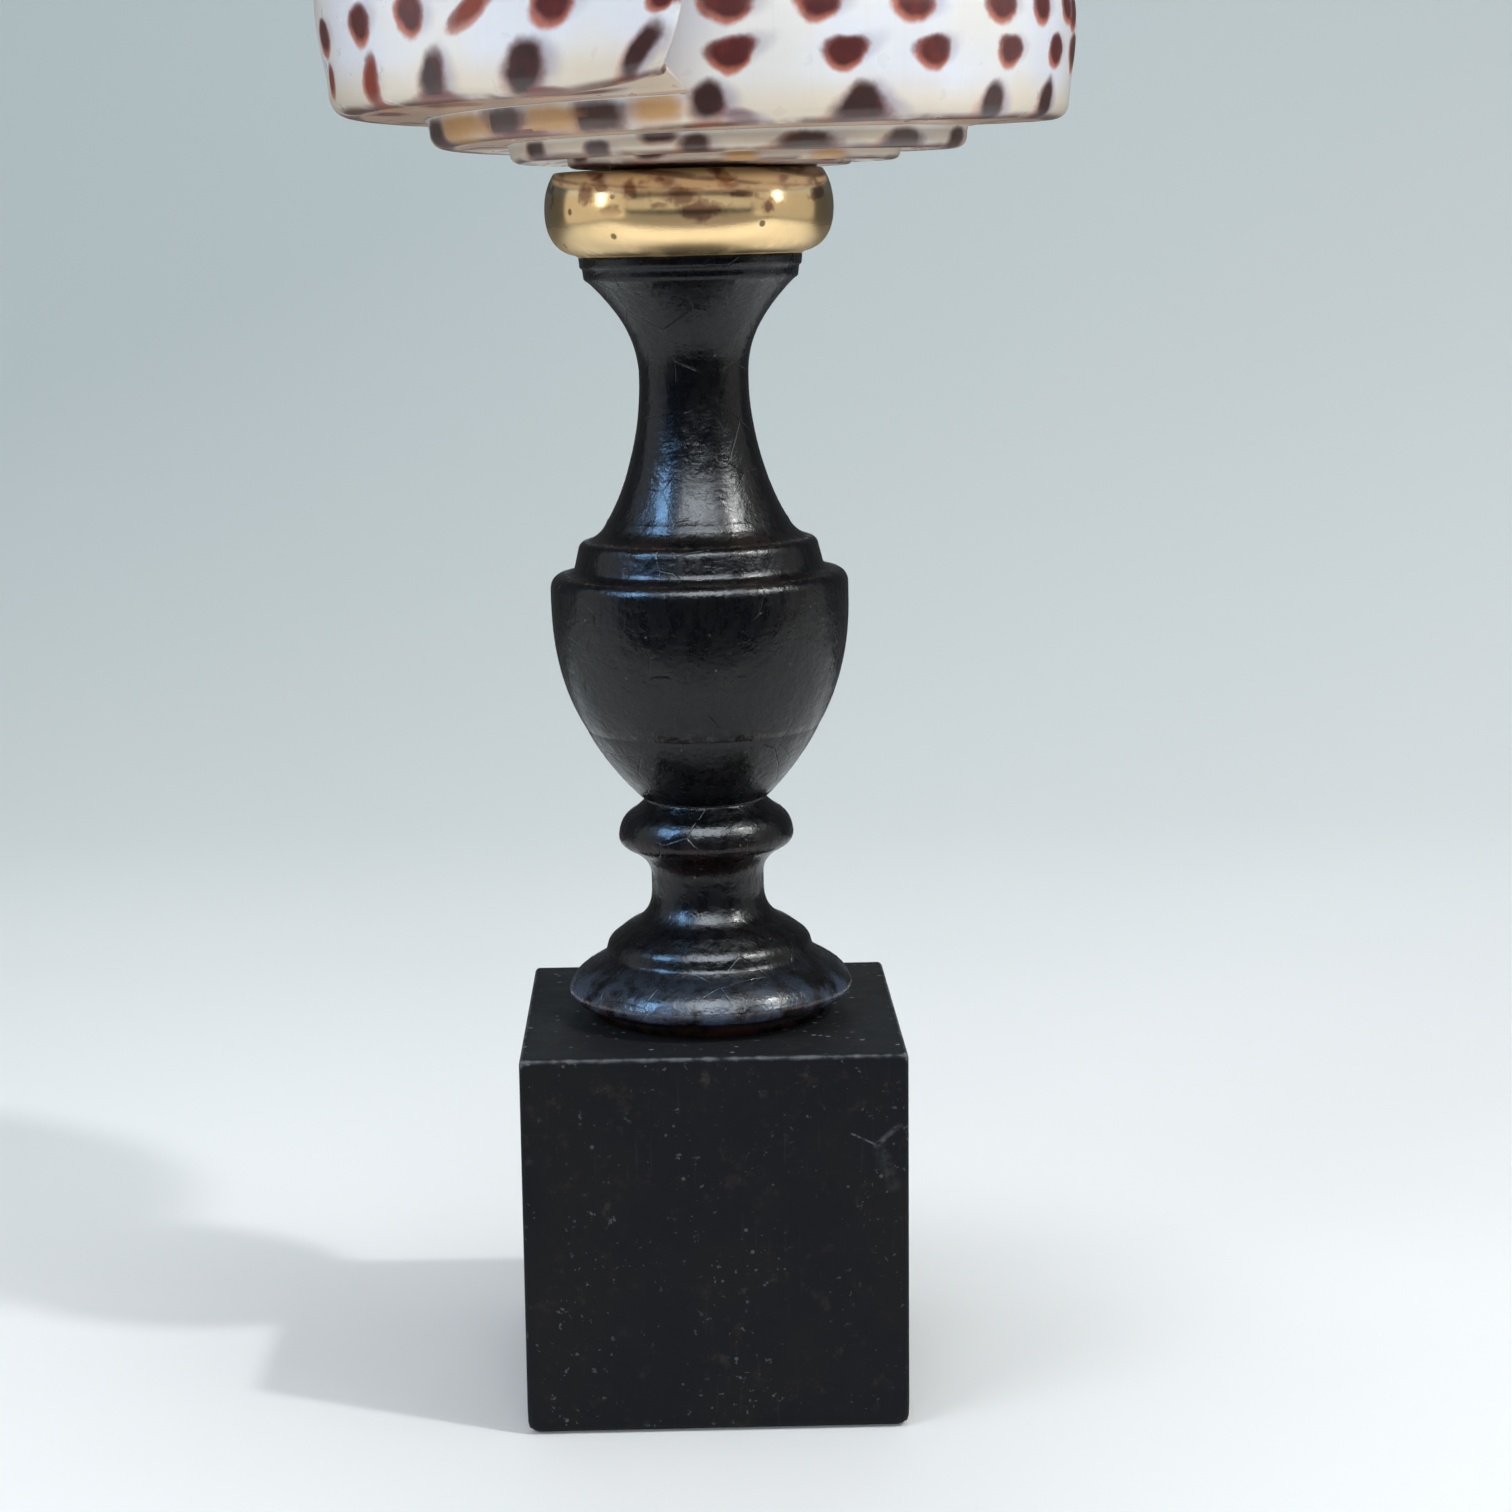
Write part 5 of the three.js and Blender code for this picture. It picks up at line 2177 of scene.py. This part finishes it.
@dataclass
class PlinthBlock:
    """The black wooden cube, with softened and rubbed edges."""

    width: float = 40.0
    height: float = 40.5
    edge: float = 0.55
    cells: int = 64
    edge_rows: int = 4
    foot_edge: float = 1.3
    foot_height: float = 4.0
    wear_width: float = 0.9
    top_band: float = 1.0
    low_wear: float = 0.45
    finish: PlinthFinish = field(default_factory=PlinthFinish)

    def stations(self, half: float) -> list[float]:
        """Lists places along one side, close together at both edges.

        Args:
            half: Half of the side.

        Returns:
            The places, about the side's middle.
        """
        bend = [half - self.edge * (1 - i / self.edge_rows) for i in range(1, self.edge_rows + 1)]
        inner = np.linspace(-(half - self.edge), half - self.edge, self.cells + 1)
        return [-b for b in reversed(bend)] + [float(v) for v in inner] + bend

    def softened(self, x: float, y: float, z: float) -> Vector:
        """Rounds a point of the sharp cube onto the softened one.

        Args:
            x: The point across, about the cube's middle.
            y: The point in depth.
            z: The point's height.

        Returns:
            The softened point.
        """
        half = Vector((self.width / 2, self.width / 2, self.height / 2))
        low = max(0.0, 1 - (z + half.z) / self.foot_height)
        edge = self.edge + (self.foot_edge - self.edge) * low * low
        core = half - Vector((edge,) * 3)
        point = Vector((x, y, z))
        near = Vector([max(-c, min(c, p)) for p, c in zip(point, core)])
        out = point - near
        return near + out.normalized() * edge if out.length > 1e-9 else near

    def mesh(self) -> bpy.types.Object:
        """Makes the cube's mesh with its wear.

        Returns:
            The piece.
        """
        sheet = Sheet(("wear",))
        places: dict[int, Vector] = {}
        flat, tall = self.stations(self.width / 2), self.stations(self.height / 2)
        for axis in range(3):
            for sign in (-1, 1):
                others = [i for i in range(3) if i != axis]
                sets = [tall if i == 2 else flat for i in others]
                lines = []
                for a in sets[0]:
                    line = []
                    for b in sets[1]:
                        point = [0.0, 0.0, 0.0]
                        point[axis] = sign * (self.height if axis == 2 else self.width) / 2
                        point[others[0]], point[others[1]] = a, b
                        key = tuple(round(v, 4) for v in point)
                        index = sheet.vertex(key, wear=self.wear_at(point))
                        places[index] = self.softened(*point)
                        line.append(index)
                    lines.append(line)
                sheet.grid(lines)
        piece = sheet.to_object("black_plinth_block")
        for index, vertex in enumerate(piece.data.vertices):
            place = places[index] + Vector((0, 0, self.height / 2))
            vertex.co = place * MM
        return piece

    def wear_at(self, point: Sequence[float]) -> float:
        """How much a place is rubbed.

        Args:
            point: A point of the sharp cube, about its middle.

        Returns:
            The wear, 0 to 1.
        """
        half = (self.width / 2, self.width / 2, self.height / 2)
        gaps = sorted(h - abs(p) for p, h in zip(point, half))
        upper = 1.0 if point[2] > half[2] - self.top_band else self.low_wear
        return max(0.0, 1 - gaps[1] / self.wear_width) * upper

    def build(self) -> bpy.types.Object:
        """Builds and dresses the cube.

        Returns:
            The finished piece.
        """
        material = self.finish.material()
        piece = self.mesh()
        for polygon in piece.data.polygons:
            polygon.use_smooth = True
        face_outwards(piece.data)
        settle(piece, Part.PLINTH, Slot.PLINTH, material)
        return piece


# Studio


BRASS = ("polished_brass_collar",)
COLLAR_MIDDLE = (0.0, 0.0, 0.126)
ALL_BUT_BRASS = ("spotted_cone_shell", "black_turned_stem", "black_plinth_block", "pale_floor")


@dataclass(frozen=True)
class Panel:
    """A soft light: where it stands, where it looks, its size in metres, power and colour."""

    name: str
    place: Place
    width: float
    height: float
    power: float
    colour: Colour = (1.0, 1.0, 1.0)
    target: Place = (0.0, 0.0, 0.12)
    diffuse: bool = True
    glossy: bool = True
    only: tuple[str, ...] = ()

    def build(self) -> None:
        """Hangs the light."""
        light = bpy.data.lights.new(self.name, "AREA")
        light.shape = "RECTANGLE"
        light.size, light.size_y = self.width, self.height
        light.energy = self.power
        light.color = self.colour
        lamp = bpy.data.objects.new(self.name, light)
        bpy.context.scene.collection.objects.link(lamp)
        lamp.location = self.place
        look = Vector(self.target) - Vector(self.place)
        lamp.rotation_euler = look.to_track_quat("-Z", "Y").to_euler()
        lamp.visible_diffuse, lamp.visible_glossy = self.diffuse, self.glossy
        lamp.visible_camera = False
        if self.only:
            group = bpy.data.collections.new(self.name)
            for piece in self.only:
                group.objects.link(bpy.data.objects[piece])
            lamp.light_linking.receiver_collection = group


@dataclass
class Studio:
    """Pale floor and backdrop, soft lights, and the camera at the photograph's angle."""

    focal_pixels: float = 3000.0
    image_pixels: float = 1512.0
    sensor: float = 36.0
    yaw: float = math.radians(1.53)
    pitch: float = math.radians(9.9)
    roll: float = math.radians(-0.64)
    eye: Place = (-3.3, -317.4, 123.7)
    clip: Span = (0.01, 20.0)
    floor_front: float = -0.18
    floor_back: float = 0.75
    floor_side: float = 0.45
    wall_top: float = 1.7
    bend: float = 0.45
    bend_steps: int = 24
    room_radius: float = 3.0
    room: Colour = srgb(203, 212, 214)
    dusk_colour: Colour = (0.080, 0.084, 0.088)
    dusk_span: Span = (0.03, 0.42)
    dusk_place: float = 0.20
    dusk_height: float = 0.6
    world: Colour = (0.44, 0.54, 0.68)
    world_strength: float = 0.12
    finish: StudioFinish = field(default_factory=StudioFinish)
    panels: tuple[Panel, ...] = (
        Panel("key_light", (0.715, -0.358, 1.01), 0.06, 0.06, 4.9, (1.0, 0.98, 0.95)),
        Panel("left_fill", (-0.512, -0.430, 0.72), 0.40, 0.40, 2.2, (0.99, 0.99, 1.0), glossy=False),
        Panel("front_fill", (-0.05, -0.95, 0.33), 0.70, 0.30, 4.6, (0.93, 0.97, 1.0), glossy=False),
        Panel("front_card", (0.0, -1.0, 0.25), 2.3, 0.30, 1.10, (1.0, 0.98, 0.93), diffuse=False,
              only=BRASS),
        Panel("cool_window", (-0.62, -0.33, 0.66), 0.24, 0.36, 8.6, (0.30, 0.58, 1.0), diffuse=False),
        Panel("white_glint", (0.62, -0.33, 0.66), 0.26, 0.34, 5.2, (0.96, 1.0, 1.0), diffuse=False),
        Panel("white_window", (0.62, -0.33, 0.66), 0.30, 0.34, 1.5, (1.0, 0.99, 0.97), glossy=False),
        Panel("left_card", (-0.45, -0.02, 0.25), 0.36, 0.50, 0.36, (0.98, 0.99, 1.0), (0.0, -0.02, 0.25),
              only=ALL_BUT_BRASS),
        Panel("right_card", (0.45, -0.02, 0.25), 0.36, 0.50, 0.26, (1.0, 0.98, 0.94), (0.0, -0.02, 0.25),
              only=ALL_BUT_BRASS),
        Panel("brass_left", (-0.45, 0.0, 0.25), 0.80, 0.50, 0.70, (1.0, 0.96, 0.88), COLLAR_MIDDLE,
              diffuse=False, only=BRASS),
        Panel("brass_right", (0.45, 0.0, 0.25), 0.80, 0.50, 0.58, (1.0, 0.96, 0.88), COLLAR_MIDDLE,
              diffuse=False, only=BRASS),
        Panel("left_star", (-0.54, -0.155, 0.235), 0.040, 0.13, 0.14, (1.0, 0.98, 0.94), COLLAR_MIDDLE,
              diffuse=False, only=BRASS),
        Panel("right_star", (0.54, -0.155, 0.255), 0.034, 0.12, 0.14, (1.0, 0.99, 0.97), COLLAR_MIDDLE,
              diffuse=False, only=BRASS),
        Panel("sky_card", (0.0, -0.50, 0.74), 0.62, 0.50, 13.0, (0.84, 0.92, 1.0), diffuse=False,
              only=("black_turned_stem",)),
        Panel("collar_card", (0.0, -0.095, 0.05), 0.42, 0.15, 0.05, (1.0, 0.95, 0.90), (0.0, -0.01, 0.125),
              diffuse=False, only=BRASS),
        Panel("top_light", (0.05, 0.05, 0.95), 0.7, 0.5, 3.8, (0.98, 0.99, 1.0)),
    )

    def camera(self) -> None:
        """Sets the camera up as the photograph's was."""
        forward = Vector((math.sin(self.yaw) * math.cos(self.pitch),
                          math.cos(self.yaw) * math.cos(self.pitch), -math.sin(self.pitch)))
        level = Vector((math.cos(self.yaw), -math.sin(self.yaw), 0))
        up = level.cross(forward)
        right = level * math.cos(self.roll) + up * math.sin(self.roll)
        top = up * math.cos(self.roll) - level * math.sin(self.roll)
        data = bpy.data.cameras.new("camera")
        data.sensor_width = self.sensor
        data.lens = self.focal_pixels / self.image_pixels * self.sensor
        data.clip_start, data.clip_end = self.clip
        camera = bpy.data.objects.new("camera", data)
        bpy.context.scene.collection.objects.link(camera)
        turn = Matrix((right, top, -forward)).transposed()
        camera.matrix_world = Matrix.Translation(Vector(self.eye) * MM) @ turn.to_4x4()
        bpy.context.scene.camera = camera

    def floor(self) -> None:
        """Lays the floor and bends it up into the backdrop."""
        line = [(self.floor_front, 0.0), (self.floor_back - self.bend, 0.0)]
        for i in range(1, self.bend_steps + 1):
            swing = math.pi / 2 * i / self.bend_steps
            line.append((self.floor_back - self.bend + self.bend * math.sin(swing),
                         self.bend * (1 - math.cos(swing))))
        line.append((self.floor_back, self.wall_top))
        vertices = [(x, y, z) for y, z in line for x in (-self.floor_side, self.floor_side)]
        faces = [(i, i + 1, i + 3, i + 2) for i in range(0, len(vertices) - 2, 2)]
        mesh = bpy.data.meshes.new("pale_floor")
        mesh.from_pydata(vertices, [], faces)
        for polygon in mesh.polygons:
            polygon.use_smooth = True
        floor = bpy.data.objects.new("pale_floor", mesh)
        bpy.context.scene.collection.objects.link(floor)
        mesh.materials.append(self.finish.material())

    def surround(self) -> None:
        """Hangs a pale room round everything, seen by the camera and lighting nothing."""
        work = bmesh.new()
        bmesh.ops.create_icosphere(work, subdivisions=4, radius=self.room_radius)
        mesh = bpy.data.meshes.new("pale_room")
        work.to_mesh(mesh)
        work.free()
        self.glow("pale_room", mesh, self.room)

    def dusk(self, name: str, side: float) -> None:
        """Stands a dark card behind and beside the object, which only reflections see.

        Args:
            name: The card's name.
            side: -1 for the left of the object, 1 for its right.
        """
        near, far = (share * side for share in self.dusk_span)
        corners = [(near, self.dusk_place, 0.0), (far, self.dusk_place, 0.0),
                   (far, self.dusk_place, self.dusk_height), (near, self.dusk_place, self.dusk_height)]
        mesh = bpy.data.meshes.new(name)
        mesh.from_pydata(corners, [], [(0, 1, 2, 3)])
        card = self.glow(name, mesh, self.dusk_colour)
        card.visible_camera = False
        card.visible_glossy = True

    @staticmethod
    def glow(name: str, mesh: bpy.types.Mesh, colour: Colour) -> bpy.types.Object:
        """Gives a stage mesh one flat colour that lights nothing.

        Args:
            name: The name of the object and its material.
            mesh: The mesh.
            colour: Its colour.

        Returns:
            The object, which only the camera sees.
        """
        material = Paint(name, (0.0, 0.0, 0.0)).shine(
            Roughness=1.0, Specular_IOR_Level=0.0, Emission_Color=colour, Emission_Strength=1.0)
        material.cycles.emission_sampling = "NONE"
        mesh.materials.append(material)
        piece = bpy.data.objects.new(name, mesh)
        bpy.context.scene.collection.objects.link(piece)
        piece.visible_diffuse = piece.visible_glossy = piece.visible_shadow = False
        piece.visible_transmission = False
        return piece

    def build(self) -> None:
        """Sets up the whole studio."""
        scene = bpy.context.scene
        scene.view_settings.view_transform = "Standard"
        world = bpy.data.worlds.new("soft_room")
        scene.world = world
        world.use_nodes = True
        sky = world.node_tree.nodes["Background"]
        sky.inputs["Color"].default_value = (*self.world, 1.0)
        sky.inputs["Strength"].default_value = self.world_strength
        self.camera()
        self.floor()
        self.surround()
        self.dusk("dusk_left", -1)
        self.dusk("dusk_right", 1)
        for panel in self.panels:
            panel.build()


def main() -> None:
    """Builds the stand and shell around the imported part, piece by piece."""
    logging.basicConfig(level=logging.INFO, format="%(name)s: %(message)s")
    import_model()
    lean = Lean()
    LOG.info("plinth: %s", PlinthBlock().build().name)
    LOG.info("stem: %s", TurnedStem().build(lean).name)
    LOG.info("collar: %s", BrassCollar().build(lean).name)
    LOG.info("shell: %s", ConeShell().build(lean).name)
    Studio().build()


if __name__ == "__main__":
    main()
